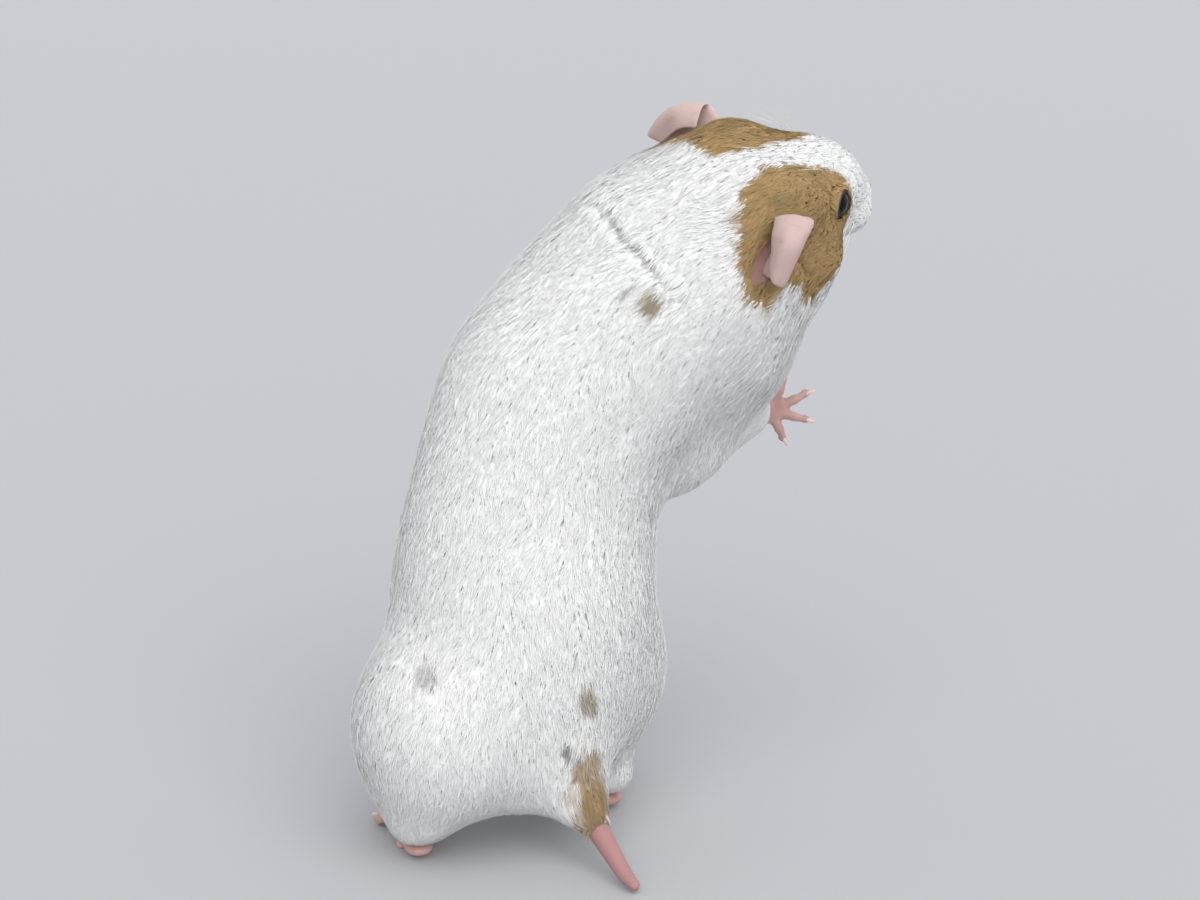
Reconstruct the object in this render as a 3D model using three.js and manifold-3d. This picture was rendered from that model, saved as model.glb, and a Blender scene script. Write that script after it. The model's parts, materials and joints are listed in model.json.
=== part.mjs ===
// A Syrian hamster, life size, reared up on its hind legs with its fore paws raised in front of its chest and its
// head turned to its right. Millimetres, +Z up. The belly faces +Y, the back faces -Y and the animal's right side
// is +X. The soles, and the underside of the tail's tip, lie on the plane z = 0.
//
// The body is one smooth implicit surface: a swept ellipse for the trunk, and ellipsoids and tapered capsules for
// the head and limbs, blended where they meet. It is meshed in overlapping boxes, finely on the head, less finely on
// the limbs and coarsely on the trunk, and parted with thin cuts. Ears, paws, tail and eyes are lofted solids that
// stop just short of it. Every outline is that of the coat's tips, where there is a coat.
// Places are measured from a point on the floor under the pelvis, and the last lines move the origin to the bottom
// centre of the whole animal.
import * as THREE from "three";
import { mergeVertices } from "three/addons/utils/BufferGeometryUtils.js";
import Module from "manifold-3d";

const wasm = await Module();
wasm.setup();

// ---- driving dimensions ----
const GAP = 0.3; // between neighbouring solids
const TRUNK_CELL = 5.8; // grid cell that the trunk is meshed with
const LIMB_CELL = 4.2;
const HEAD_CELL = 2.9;
const BODY_LOW = [-46, -40, -3]; // box that holds the whole implicit body
const BODY_HIGH = [74, 50, 138];

const HEAD_CENTRE = [39, 11.8, 115.4]; // between the ears, inside the skull
const HEAD_FORWARD = [0.86, 0.49, 0.12];
const HEAD_UP = [0.16, -0.5, 0.85];
const EYE_RADIUS = 3.1;
const EYE_AT = [9.8, 7.7, 3.8]; // forward, right, up of the head's centre
const EAR_THICK = 1.0;
const SKIN_PINK = 0xe3bdb8;
const COAT_WHITE = 0xeeece8;
const COAT_TAN = 0xb98a52;
const EYE_BLACK = 0x100a0a;

// How wide the fillets are where parts of the body meet.
const FILLET = { belly: 8, limb: 6, throat: 6, tail: 8, nape: 5, knee: 5, elbow: 4, face: 4.5, eyelid: 2 };

const vec = (a) => new THREE.Vector3(...a);
const lerp = (a, b, t) => a + (b - a) * t;
const clamp01 = (t) => Math.min(1, Math.max(0, t));

// ---- frames ----
// A frame gives a point's place from along, right and up values.
function frameOf(origin, forward, up) {
  const f = vec(forward).normalize();
  const r = new THREE.Vector3().crossVectors(f, vec(up)).normalize();
  const u = new THREE.Vector3().crossVectors(r, f);
  const turn = new THREE.Matrix3().set(f.x, r.x, u.x, f.y, r.y, u.y, f.z, r.z, u.z);
  const centre = vec(origin);
  return {
    forward: f,
    right: r,
    up: u,
    centre,
    inverse: turn.clone().transpose(),
    place: (a) => vec(a).applyMatrix3(turn).add(centre),
  };
}
const head = frameOf(HEAD_CENTRE, HEAD_FORWARD, HEAD_UP);

// ---- distance functions: negative inside, in millimetres near the surface ----
// Radii run along the frame's forward, right and up axes.
function ellipsoid(frame, at, radii) {
  const centre = frame.place(at);
  const r = vec(radii);
  const q = new THREE.Vector3();
  return (p) => {
    q.copy(p).sub(centre).applyMatrix3(frame.inverse).divide(r);
    const k0 = q.length();
    const k1 = q.divide(r).length();
    return k1 > 1e-9 ? (k0 * (k0 - 1)) / k1 : -Math.min(r.x, r.y, r.z);
  };
}

// A capsule whose radius goes evenly from ra at a to rb at b.
function cone(a, b, ra, rb) {
  const start = vec(a);
  const along = vec(b).sub(start);
  const q = new THREE.Vector3();
  return (p) => {
    q.copy(p).sub(start);
    const t = clamp01(q.dot(along) / along.lengthSq());
    return q.addScaledVector(along, -t).length() - lerp(ra, rb, t);
  };
}

// Joins two surfaces with a fillet about k wide.
function smooth(a, b, k) {
  const h = Math.max(k - Math.abs(a - b), 0) / k;
  return Math.min(a, b) - (h * h * k) / 4;
}

// ---- the trunk: an ellipse swept up the spine ----
// at: the section's centre; side and deep: its half width and half depth; back: the way the back faces there.
const STATIONS = [
  { at: [-6, -6.5, 14], side: 14, deep: 13, back: [0.6, -0.78, -0.1] },
  { at: [-7, -6.5, 19], side: 20.5, deep: 19, back: [0.62, -0.78, 0] },
  { at: [-6, -5.5, 27], side: 23, deep: 21, back: [0.62, -0.78, 0] },
  { at: [-3.2, -4.5, 37], side: 24.2, deep: 21.5, back: [0.58, -0.81, 0] },
  { at: [-2.2, -3, 48], side: 23.4, deep: 21, back: [0.48, -0.88, 0] },
  { at: [-2, -1, 59], side: 23.2, deep: 20, back: [0.35, -0.93, 0.05] },
  { at: [-0.2, 1, 70], side: 23.2, deep: 19.5, back: [0.2, -0.97, 0.1] },
  { at: [4, 3.2, 81], side: 23.4, deep: 19.2, back: [0.02, -0.98, 0.2] },
  { at: [13.8, 5.8, 93.5], side: 22.9, deep: 18.5, back: [-0.15, -0.92, 0.35] },
  { at: [24, 8, 105], side: 22.8, deep: 17, back: [-0.18, -0.84, 0.5] },
  { at: [32, 10, 112], side: 19.8, deep: 15, back: [-0.1, -0.7, 0.7] },
];
const END_DOME = 9; // height of the domes at the spine's ends
const SPINE_STEPS = 40;

function sweptTrunk() {
  const centres = new THREE.CatmullRomCurve3(STATIONS.map((s) => vec(s.at)));
  const backs = new THREE.CatmullRomCurve3(STATIONS.map((s) => vec(s.back)));
  const sizes = new THREE.CatmullRomCurve3(STATIONS.map((s) => vec([s.side, s.deep, 0])));
  const rings = [];
  for (let i = 0; i <= SPINE_STEPS; i++) {
    const t = i / SPINE_STEPS;
    const along = centres.getTangent(t);
    const ring = frameOf(centres.getPoint(t).toArray(), along.toArray(), backs.getPoint(t).toArray());
    const size = sizes.getPoint(t);
    rings.push({ ...ring, side: size.x, deep: size.y });
  }
  const q = new THREE.Vector3();
  return (p) => {
    let nearest = Infinity;
    for (let i = 0; i < SPINE_STEPS; i++) {
      const a = rings[i];
      const b = rings[i + 1];
      const span = b.centre.distanceTo(a.centre);
      const run = q.copy(p).sub(a.centre).dot(a.forward) / span;
      const t = clamp01(run);
      q.copy(p).addScaledVector(a.centre, t - 1).addScaledVector(b.centre, -t);
      const x = q.dot(a.right) * (1 - t) + q.dot(b.right) * t;
      const y = q.dot(a.up) * (1 - t) + q.dot(b.up) * t;
      const along = (run - t) * span;
      const side = lerp(a.side, b.side, t);
      const deep = lerp(a.deep, b.deep, t);
      nearest = Math.min(nearest, (Math.hypot(x / side, y / deep, along / END_DOME) - 1) * Math.sqrt(side * deep));
    }
    return nearest;
  };
}

// ---- limbs ----
// The pelvis is turned towards the animal's left. thigh is on the pelvis: up the spine, right and back. girth is the
// leg's radius at the knee and at the heel.
const PELVIS = frameOf([-6, -5.5, 24], [0, 0, 1], [0.62, -0.78, 0]);
const HIND = {
  left: { thigh: [0, -17.2, -1], heel: [-23, -18, 7.5], toes: [-0.3, 0.95, 0], girth: [12, 6] },
  right: { thigh: [4.5, 18, -1], heel: [11.5, 2.5, 7.5], toes: [-0.12, 0.99, 0], girth: [12.5, 5.8] },
};
const THIGH_RADII = [18.5, 14.5, 17]; // along the spine, sideways, front to back
const KNEE_AHEAD = [6, 4]; // down the spine and towards the belly from the thigh's middle
const KNEE_WIDE = 0.9; // the knee's distance from the middle plane, as a share of the thigh's
const SLACK = 0.9; // radius of the loose skin between shoulder and wrist, as a share of the leg's
// girth: the leg's radius at the shoulder, elbow and wrist.
const FORE = {
  right: {
    shoulder: [32, 12.5, 89],
    elbow: [24, 12.5, 69.5],
    wrist: [39.3, 27, 71.8],
    grip: [1, 0.25, 0.05],
    girth: [14.5, 9, 4.2],
  },
  left: {
    shoulder: [5, 18, 91],
    elbow: [-3.5, 25.5, 79],
    wrist: [2.5, 31, 89.5],
    grip: [0.35, 0.3, 1],
    girth: [12, 8.8, 4.2],
  },
};

function hindLeg({ thigh, heel, girth }) {
  const haunch = ellipsoid(PELVIS, thigh, THIGH_RADII);
  const [down, ahead] = KNEE_AHEAD;
  const knee = PELVIS.place([thigh[0] - down, thigh[1] * KNEE_WIDE, thigh[2] - ahead]).toArray();
  const shank = cone(knee, heel, girth[0], girth[1]);
  return (p) => smooth(haunch(p), shank(p), FILLET.knee);
}

function foreLeg({ shoulder, elbow, wrist, girth }) {
  const upper = cone(shoulder, elbow, girth[0], girth[1]);
  const lower = cone(elbow, wrist, girth[1], girth[2]);
  const web = cone(shoulder, wrist, girth[0] * SLACK, girth[2] * SLACK);
  return (p) => smooth(smooth(upper(p), lower(p), FILLET.elbow), web(p), FILLET.elbow);
}

// ---- the head, in its own frame: forward, right, up ----
function headSurface() {
  const both = (at, radii) => [-1, 1].map((s) => ellipsoid(head, [at[0], s * at[1], at[2]], radii));
  const skull = ellipsoid(head, [-2.5, 0, 0.2], [17, 14.2, 12.3]);
  const temples = both([-4, 7.4, 4.4], [9.5, 8, 8]);
  const brow = ellipsoid(head, [8.5, 0, 3.4], [11.5, 9.4, 7.4]);
  const snout = ellipsoid(head, [14.8, 0, -2.2], [10.2, 7, 6.8]);
  const jaw = ellipsoid(head, [8.5, 0, -9.6], [10.5, 7, 5]);
  const sockets = both([9, 7, 1.2], [5.2, 3.8, 4.6]);
  const cheeks = both([1.5, 8.8, -6.5], [12, 9.2, 8.8]);
  const whiskerPads = both([18.6, 3.2, -4.6], [5.4, 4, 4.1]);
  const lip = ellipsoid(head, [18.4, 0, -8.6], [4, 3, 2.4]);
  const soft = [brow, snout, jaw, ...temples, ...cheeks];
  const fine = [...sockets, ...whiskerPads, lip];
  return (p) => {
    let d = skull(p);
    for (const part of soft) d = smooth(d, part(p), FILLET.face);
    for (const part of fine) d = smooth(d, part(p), FILLET.eyelid);
    return d;
  };
}

function bodySurface() {
  const trunk = sweptTrunk();
  const belly = ellipsoid(PELVIS, [20, 0, -5.5], [26, 19, 18]);
  const limbs = [hindLeg(HIND.left), hindLeg(HIND.right), foreLeg(FORE.left), foreLeg(FORE.right)];
  const headPart = headSurface();
  const throat = cone([29, 12, 96], [41.5, 15, 104], 17.5, 12.5);
  const tailRoot = cone([2, -13, 17], [9.5, -23.5, 7.6], 9.5, 3.4);
  return (p) => {
    let d = smooth(trunk(p), belly(p), FILLET.belly);
    for (const limb of limbs) d = smooth(d, limb(p), FILLET.limb);
    d = smooth(d, throat(p), FILLET.throat);
    d = smooth(d, tailRoot(p), FILLET.tail);
    return smooth(d, headPart(p), FILLET.nape);
  };
}

// ---- meshing ----
// A cube's corners are numbered by bits, x + 2y + 4z. Edge 4 axis + a + 2b runs along its axis at the offsets a and b
// on the two axes that follow it.
const cornerAt = (axis, along, a, b) => (along << axis) | (a << (axis + 1) % 3) | (b << (axis + 2) % 3);
const AXES = [0, 1, 2];
const EDGES = AXES.flatMap((axis) =>
  [0, 1, 2, 3].map((c) => [cornerAt(axis, 0, c & 1, c >> 1), cornerAt(axis, 1, c & 1, c >> 1)]));
const FACES = AXES.flatMap((axis) =>
  [0, 1].map((side) => EDGES.map((_, e) => e).filter((e) => EDGES[e].every((c) => ((c >> axis) & 1) === side))));
const cornerPlace = (c) => [c & 1, (c >> 1) & 1, (c >> 2) & 1];

// The separate sheets of surface in a cell, each as the list of edges that it crosses.
function sheetsIn(corner) {
  const crossed = EDGES.map(([a, b]) => corner[a] < 0 !== corner[b] < 0);
  const sheet = EDGES.map((_, e) => e);
  const join = (e, f) => {
    const [was, now] = [sheet[e], sheet[f]];
    sheet.forEach((s, g) => s === was && (sheet[g] = now));
  };
  for (const face of FACES) {
    const cut = face.filter((e) => crossed[e]);
    if (cut.length === 2) join(...cut);
  }
  const found = new Map();
  sheet.forEach((s, e) => crossed[e] && found.set(s, [...(found.get(s) || []), e]));
  return [...found.values()];
}

// The surface where the distance is level, inside a box, as a net with a vertex for each sheet in each cell.
function netOf(distance, low, high, cell, level = 0) {
  const n = high.map((h, i) => Math.ceil((h - low[i]) / cell) + 1);
  const index = (i, j, k) => i + n[0] * (j + n[1] * k);
  const value = new Float64Array(n[0] * n[1] * n[2]);
  const p = new THREE.Vector3();
  const eachCell = (from, to, visit) => {
    for (let k = from; k < n[2] - to; k++)
      for (let j = from; j < n[1] - to; j++)
        for (let i = from; i < n[0] - to; i++) visit(i, j, k);
  };
  eachCell(0, 0, (i, j, k) => {
    const rim = [i, j, k].some((v, a) => v === 0 || v === n[a] - 1);
    p.set(low[0] + i * cell, low[1] + j * cell, low[2] + k * cell);
    value[index(i, j, k)] = rim ? cell : distance(p) - level;
  });
  const square = (i, j, k, axis) =>
    [[0, 0], [1, 0], [1, 1], [0, 1]].map(([a, b]) => {
      const at = [i, j, k];
      at[(axis + 1) % 3] += a;
      at[(axis + 2) % 3] += b;
      return index(...at);
    });
  // A face with two opposite corners inside has no one outline, so its nearer outer corner is taken in.
  for (let doubtful = 1; doubtful; ) {
    doubtful = 0;
    eachCell(1, 2, (i, j, k) => {
      for (const axis of AXES) {
        const at = square(i, j, k, axis);
        const inside = at.map((c) => value[c] < 0);
        if (inside[0] !== inside[2] || inside[1] !== inside[3] || inside[0] === inside[1]) continue;
        const [a, b] = inside[0] ? [at[1], at[3]] : [at[0], at[2]];
        value[value[a] < value[b] ? a : b] = -1e-3 * cell;
        doubtful++;
      }
    });
  }
  const points = [];
  const vertexOn = new Map();
  eachCell(0, 1, (i, j, k) => {
    const corner = [0, 1, 2, 3, 4, 5, 6, 7].map((c) => value[index(i + (c & 1), j + ((c >> 1) & 1), k + (c >> 2))]);
    const inside = corner.filter((v) => v < 0).length;
    if (inside === 0 || inside === 8) return;
    for (const edges of sheetsIn(corner)) {
      const middle = new THREE.Vector3();
      for (const e of edges) {
        const [a, b] = EDGES[e];
        middle.add(vec(cornerPlace(a)).lerp(vec(cornerPlace(b)), corner[a] / (corner[a] - corner[b])));
        vertexOn.set(12 * index(i, j, k) + e, points.length);
      }
      middle.divideScalar(edges.length).add(vec([i, j, k])).multiplyScalar(cell).add(vec(low));
      points.push(settle(middle, distance, level, cell, low, high));
    }
  });
  const triangles = [];
  const ROUND = [[1, 1], [0, 1], [0, 0], [1, 0]];
  eachCell(0, 1, (i, j, k) => {
    for (const axis of AXES) {
      const here = value[index(i, j, k)] < 0;
      const step = AXES.map((a) => (a === axis ? 1 : 0));
      if (here === value[index(i + step[0], j + step[1], k + step[2])] < 0) continue;
      const quad = ROUND.map(([a, b]) => {
        const back = [0, 0, 0];
        back[(axis + 1) % 3] = a;
        back[(axis + 2) % 3] = b;
        return vertexOn.get(12 * index(i - back[0], j - back[1], k - back[2]) + 4 * axis + a + 2 * b);
      });
      if (!here) quad.reverse();
      const [a, b, c, d] = quad;
      const short = points[a].distanceTo(points[c]) < points[b].distanceTo(points[d]);
      triangles.push(...(short ? [a, b, c, a, c, d] : [a, b, d, b, c, d]));
    }
  });
  return solidOf(points, triangles);
}

// Moves a net's vertex onto the surface, at most a cell away.
const SETTLING = { step: 0.05, passes: 3, leastSlope: 0.25, border: 1.5 }; // border in cells

function settle(point, distance, level, cell, low, high) {
  const { step, passes, leastSlope, border } = SETTLING;
  const inside = AXES.every((a) => {
    const v = point.getComponent(a);
    return v > low[a] + border * cell && v < high[a] - border * cell;
  });
  if (!inside) return point;
  const moved = point.clone();
  for (let pass = 0; pass < passes; pass++) {
    const d = distance(moved) - level;
    const slope = new THREE.Vector3();
    for (const a of AXES) {
      const near = moved.clone();
      near.setComponent(a, near.getComponent(a) + step);
      slope.setComponent(a, (distance(near) - level - d) / step);
    }
    moved.addScaledVector(slope, -d / Math.max(slope.lengthSq(), leastSlope));
  }
  return moved.distanceTo(point) < cell ? moved : point;
}

function solidOf(points, triangles) {
  const vertProperties = new Float32Array(points.flatMap((p) => p.toArray()));
  const mesh = new wasm.Mesh({ numProp: 3, vertProperties, triVerts: new Uint32Array(triangles) });
  return new wasm.Manifold(mesh);
}

// A three.js geometry as a solid.
function solidFrom(geometry) {
  const bare = geometry.clone();
  bare.deleteAttribute("normal");
  bare.deleteAttribute("uv");
  const merged = mergeVertices(bare, 1e-4);
  return new wasm.Manifold(
    new wasm.Mesh({
      numProp: 3,
      vertProperties: merged.attributes.position.array,
      triVerts: new Uint32Array(merged.index.array),
    }),
  );
}

function geometryOf(solid) {
  const mesh = solid.getMesh();
  const geometry = new THREE.BufferGeometry();
  geometry.setAttribute("position", new THREE.BufferAttribute(new Float32Array(mesh.vertProperties), 3));
  geometry.setIndex(new THREE.BufferAttribute(new Uint32Array(mesh.triVerts), 1));
  geometry.computeVertexNormals();
  return geometry;
}

// The largest piece of a solid, without the crumbs that a cut can leave.
function mainPiece(solid) {
  return solid.decompose().reduce((a, b) => (b.volume() > a.volume() ? b : a));
}

// ---- cutters ----
const CUTTER_SIZE = 300;
const BALL_SIDES = 12;
const EYE_SIDES = 14;

// All that lies on the far side of a plane, shifted along its normal.
function beyond(point, normal, shift) {
  const n = vec(normal).normalize();
  const box = new THREE.BoxGeometry(CUTTER_SIZE, CUTTER_SIZE, CUTTER_SIZE);
  const turn = new THREE.Quaternion().setFromUnitVectors(new THREE.Vector3(0, 0, 1), n);
  const centre = vec(point).addScaledVector(n, CUTTER_SIZE / 2 + shift);
  box.applyMatrix4(new THREE.Matrix4().compose(centre, turn, new THREE.Vector3(1, 1, 1)));
  return solidFrom(box);
}

function ball(centre, radii, grown = 0, sides = BALL_SIDES) {
  const geometry = new THREE.SphereGeometry(1, sides, sides / 2);
  geometry.scale(...radii.map((r) => r + grown));
  geometry.translate(...centre);
  return solidFrom(geometry);
}

// ---- lofted solids ----
const DOME = 0.65; // how far along a tube's domed end its one ring lies, as a share of the radius
const LEVEL_LIMIT = 0.9; // a tube steeper than this takes its sides from +Y instead of +Z

// A tube round a smooth line through points, with a radius at each point and domed ends.
function tube(points, radii, sides, steps, flat = 1) {
  const curve = new THREE.CatmullRomCurve3(points.map(vec));
  const girth = new THREE.CatmullRomCurve3(radii.map((r, i) => vec([r, i, 0])));
  const up = Math.abs(curve.getTangent(0.5).z) > LEVEL_LIMIT ? vec([0, 1, 0]) : vec([0, 0, 1]);
  const rings = [];
  const first = radii[0];
  const last = radii[radii.length - 1];
  const ring = (centre, along, r) => {
    const side = new THREE.Vector3().crossVectors(along, up).normalize();
    const rise = new THREE.Vector3().crossVectors(side, along);
    rings.push(
      Array.from({ length: sides }, (_, i) => {
        const a = ((i + 0.5) / sides) * 2 * Math.PI;
        return centre.clone().addScaledVector(side, r * Math.cos(a)).addScaledVector(rise, flat * r * Math.sin(a));
      }),
    );
  };
  const start = curve.getPoint(0);
  const end = curve.getPoint(1);
  const from = curve.getTangent(0);
  const to = curve.getTangent(1);
  const narrowing = Math.sqrt(1 - DOME * DOME);
  ring(start.clone().addScaledVector(from, -DOME * first), from, first * narrowing);
  for (let i = 0; i <= steps; i++) {
    const t = i / steps;
    ring(curve.getPoint(t), curve.getTangent(t), girth.getPoint(t).x);
  }
  ring(end.clone().addScaledVector(to, DOME * last), to, last * narrowing);
  return skinOf(rings, start.addScaledVector(from, -first), end.addScaledVector(to, last));
}

// Joins rings of equal length into a closed solid with a point at each end.
function skinOf(rings, first, last) {
  const sides = rings[0].length;
  const points = [...rings.flat(), first, last];
  const at = (r, i) => r * sides + (i % sides);
  const triangles = [];
  for (let i = 0; i < sides; i++) {
    triangles.push(points.length - 2, at(0, i), at(0, i + 1));
    triangles.push(points.length - 1, at(rings.length - 1, i + 1), at(rings.length - 1, i));
    for (let r = 0; r + 1 < rings.length; r++) {
      triangles.push(at(r, i), at(r + 1, i), at(r + 1, i + 1));
      triangles.push(at(r, i), at(r + 1, i + 1), at(r, i + 1));
    }
  }
  const solid = solidOf(points, triangles);
  return solid.volume() < 0 ? solidOf(points, triangles.reverse()) : solid;
}

// A pinna laid back: a short wall stands up from the head, and the far half folds over backwards. Each line runs
// from the ear's front end to its rear end, in the head's frame, for the right ear.
const EAR_LINES = [
  [[-3, 11.5, 6.4], [-6.2, 13.5, 3.8], [-9.8, 16, -1.2]], // root, inside the head
  [[-1.8, 15, 8.6], [-5.2, 18.4, 6], [-8.6, 20.6, -0.4]], // wall
  [[-2.6, 17.4, 9.9], [-7.2, 20.9, 7.8], [-10.2, 22.8, 1]], // fold
  [[-5, 15.6, 10.8], [-9.4, 19.4, 8.4], [-11.6, 21.9, 1]], // flap
  [[-7, 12.2, 9.4], [-9.4, 16.2, 6.6], [-10.8, 19.6, 0]], // free edge
];
const EAR_SECTIONS = 6;
const EAR_POINTS = 7;

function earSolid(side) {
  const place = ([f, r, u]) => head.place([f, side * r, u]);
  const lines = EAR_LINES.map((line) => new THREE.CatmullRomCurve3(line.map(place)));
  const rows = Array.from({ length: EAR_SECTIONS + 1 }, (_, i) => {
    const section = new THREE.CatmullRomCurve3(lines.map((line) => line.getPoint(i / EAR_SECTIONS)));
    return section.getSpacedPoints(EAR_POINTS - 1);
  });
  return sheetSolid(rows, EAR_THICK);
}

// A grid of points thickened into a closed solid.
function sheetSolid(rows, thick) {
  const across = rows[0].length;
  const normal = (i, j) => {
    const at = (a, b) => rows[Math.min(Math.max(a, 0), rows.length - 1)][Math.min(Math.max(b, 0), across - 1)];
    const u = at(i + 1, j).clone().sub(at(i - 1, j));
    const v = at(i, j + 1).clone().sub(at(i, j - 1));
    return u.cross(v).normalize();
  };
  const face = (s) => rows.flatMap((row, i) => row.map((p, j) => p.clone().addScaledVector(normal(i, j), s * thick)));
  const points = [...face(0.5), ...face(-0.5)];
  const layer = rows.length * across;
  const id = (i, j, k) => k * layer + i * across + j;
  const triangles = [];
  const quad = (a, b, c, d) => triangles.push(a, b, c, a, c, d);
  for (let i = 0; i + 1 < rows.length; i++)
    for (let j = 0; j + 1 < across; j++) {
      quad(id(i, j, 0), id(i + 1, j, 0), id(i + 1, j + 1, 0), id(i, j + 1, 0));
      quad(id(i, j, 1), id(i, j + 1, 1), id(i + 1, j + 1, 1), id(i + 1, j, 1));
    }
  const rim = [];
  for (let j = 0; j + 1 < across; j++) rim.push([0, j]);
  for (let i = 0; i + 1 < rows.length; i++) rim.push([i, across - 1]);
  for (let j = across - 1; j > 0; j--) rim.push([rows.length - 1, j]);
  for (let i = rows.length - 1; i > 0; i--) rim.push([i, 0]);
  rim.forEach(([i, j], r) => {
    const [k, l] = rim[(r + 1) % rim.length];
    quad(id(i, j, 0), id(k, l, 0), id(k, l, 1), id(i, j, 1));
  });
  const solid = solidOf(points, triangles);
  return solid.volume() < 0 ? solidOf(points, triangles.reverse()) : solid;
}

// A paw: a flattened palm and its digits, each ending in a claw. turns are the digits' angles from the paw's own
// direction, and lengths run from the palm's middle to the claw's tip.
const CLAW_LENGTH = 1.8;
const CLAW_RADIUS = 0.3;
const CLAW_HOOK = 0.5; // how far the claw's tip bends down
const PALM_SIDES = 7;
const PALM_STEPS = 3;
const DIGIT_SIDES = 5;
const DIGIT_STEPS = 3;
const KNUCKLE_RISE = 0.45;

function pawSolid({ palm, forward, up, palmRadii, turns, lengths, thick, droop }) {
  const frame = frameOf(palm, forward, up);
  const [long, wide, deep] = palmRadii;
  const spine = [[-long, 0, 0], [0, 0, 0.15], [long * 0.75, 0, 0]].map((a) => frame.place(a).toArray());
  let solid = tube(spine, [wide * 0.72, wide, wide * 0.95], PALM_SIDES, PALM_STEPS, deep / wide);
  turns.forEach((degrees, i) => {
    const a = (degrees * Math.PI) / 180;
    const reach = (r, lift) => frame.place([r * Math.cos(a), r * Math.sin(a), lift]).toArray();
    const tip = lengths[i];
    const toe = tip - CLAW_LENGTH;
    const knuckle = reach(toe * 0.65, KNUCKLE_RISE);
    const hook = reach(tip - CLAW_RADIUS, droop - CLAW_HOOK);
    const line = [reach(toe * 0.3, 0), knuckle, reach(toe * 0.95, droop), hook];
    solid = solid.add(tube(line, [thick, thick * 0.92, thick * 0.9, CLAW_RADIUS], DIGIT_SIDES, DIGIT_STEPS));
  });
  return solid;
}

// ---- the pieces ----
const distance = bodySurface();

// The head is what lies ahead of one plane and above another.
const NECK_CUT = { at: head.place([-14, 0, 0]).toArray(), normal: HEAD_FORWARD };
const THROAT_CUT = { at: head.place([4, 0, -15.5]).toArray(), normal: [-0.25, -0.15, 1] };
const headRoom = (shift) =>
  beyond(NECK_CUT.at, NECK_CUT.normal, shift).intersect(beyond(THROAT_CUT.at, THROAT_CUT.normal, shift));
const CUTS = {
  neck: { at: [20, 8, 99], normal: [0.72, 0.2, 0.66] },
  chest: { at: [-2, 0, 63], normal: [0.08, 0.15, 1] },
  abdomen: { at: [-5, -4.5, 38], normal: [0.1, 0.1, 1] },
};
// The limbs are taken from the body by balls, in this order.
const LIMB_CUTTERS = {
  foreleg_right: { centre: [45, 24, 69], radii: [20, 22, 19] },
  foreleg_left: { centre: [-1, 34, 84], radii: [14, 16, 15] },
  shank_left: { centre: [-21, -18, 2], radii: [12, 13, 10] },
  shank_right: { centre: [10, 4, 2], radii: [11, 11, 10] },
  thigh_left: { centre: [-35, -16, 22], radii: [21, 22, 23] },
  thigh_right: { centre: [27, 14, 28], radii: [21, 24, 24] },
};

// The boxes that the body is meshed in, as low and high corners and a cell.
const HEAD_REACH = 27; // from the middle of the head to its box's sides
const LIMB_MARGIN = 6; // from a limb's cutter to its box's sides
function boxAround(centre, reach, cell) {
  const low = centre.map((c, a) => Math.max(c - reach[a], BODY_LOW[a]));
  return [low, centre.map((c, a) => c + reach[a]), cell];
}
const NETS = {
  trunk: [BODY_LOW, BODY_HIGH, TRUNK_CELL],
  head: boxAround(head.place([6, 0, 0]).toArray(), Array(3).fill(HEAD_REACH), HEAD_CELL),
};
for (const [name, { centre, radii }] of Object.entries(LIMB_CUTTERS)) {
  NETS[name] = boxAround(centre, radii.map((r) => r + LIMB_MARGIN), LIMB_CELL);
}
const net = (name, level = 0) => netOf(distance, ...NETS[name], level);
// The same nets outside the body, for cutting what stands on it. The nets' flat faces take up the slack.
const NET_SLACK = 0.1;
const grownNets = Object.keys(NETS).map((name) => net(name, GAP + NET_SLACK));
const clearOfBody = (solid) => mainPiece(grownNets.reduce((left, grown) => left.subtract(grown), solid));

const eyePlace = (side) => head.place([EYE_AT[0], side * EYE_AT[1], EYE_AT[2]]).toArray();

function bodyPieces() {
  const pieces = {};
  const taken = [headRoom(-GAP / 2)];
  let rest = net("trunk").subtract(taken[0]);
  let skull = net("head").intersect(headRoom(GAP / 2));
  for (const side of [-1, 1]) skull = skull.subtract(ball(eyePlace(side), Array(3).fill(EYE_RADIUS), GAP));
  for (const [name, { centre, radii }] of Object.entries(LIMB_CUTTERS)) {
    const limb = net(name).intersect(ball(centre, radii));
    pieces[name] = mainPiece(taken.reduce((left, cutter) => left.subtract(cutter), limb));
    const grown = ball(centre, radii, GAP);
    rest = rest.subtract(grown);
    skull = skull.subtract(grown);
    taken.push(grown);
  }
  pieces.head = mainPiece(skull);
  for (const [name, { at, normal }] of Object.entries(CUTS)) {
    pieces[name] = mainPiece(rest.intersect(beyond(at, normal, GAP / 2)));
    rest = rest.subtract(beyond(at, normal, -GAP / 2));
  }
  pieces.rump = mainPiece(rest);
  return pieces;
}

const UNDER_FLOOR = beyond([0, 0, 0], [0, 0, -1], 0);
const TAIL_LINE = [[9, -21.5, 8.2], [11.8, -25.6, 5.2], [14.4, -29.2, 2.6], [16.6, -32.4, 1.2]];
const TAIL_RADII = [2.7, 2.2, 1.8, 1.4];
const TAIL_SIDES = 8;
const TAIL_STEPS = 6;
const HEEL_TO_SOLE = 8.5;
const SOLE_HEIGHT = 1.7;
const WRIST_TO_PALM = 4.4;
const PALM_AHEAD = [0, 2.2, 0]; // how far the palm hangs in front of the wrist

const tailSolid = () => tube(TAIL_LINE, TAIL_RADII, TAIL_SIDES, TAIL_STEPS).subtract(UNDER_FLOOR);

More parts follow.
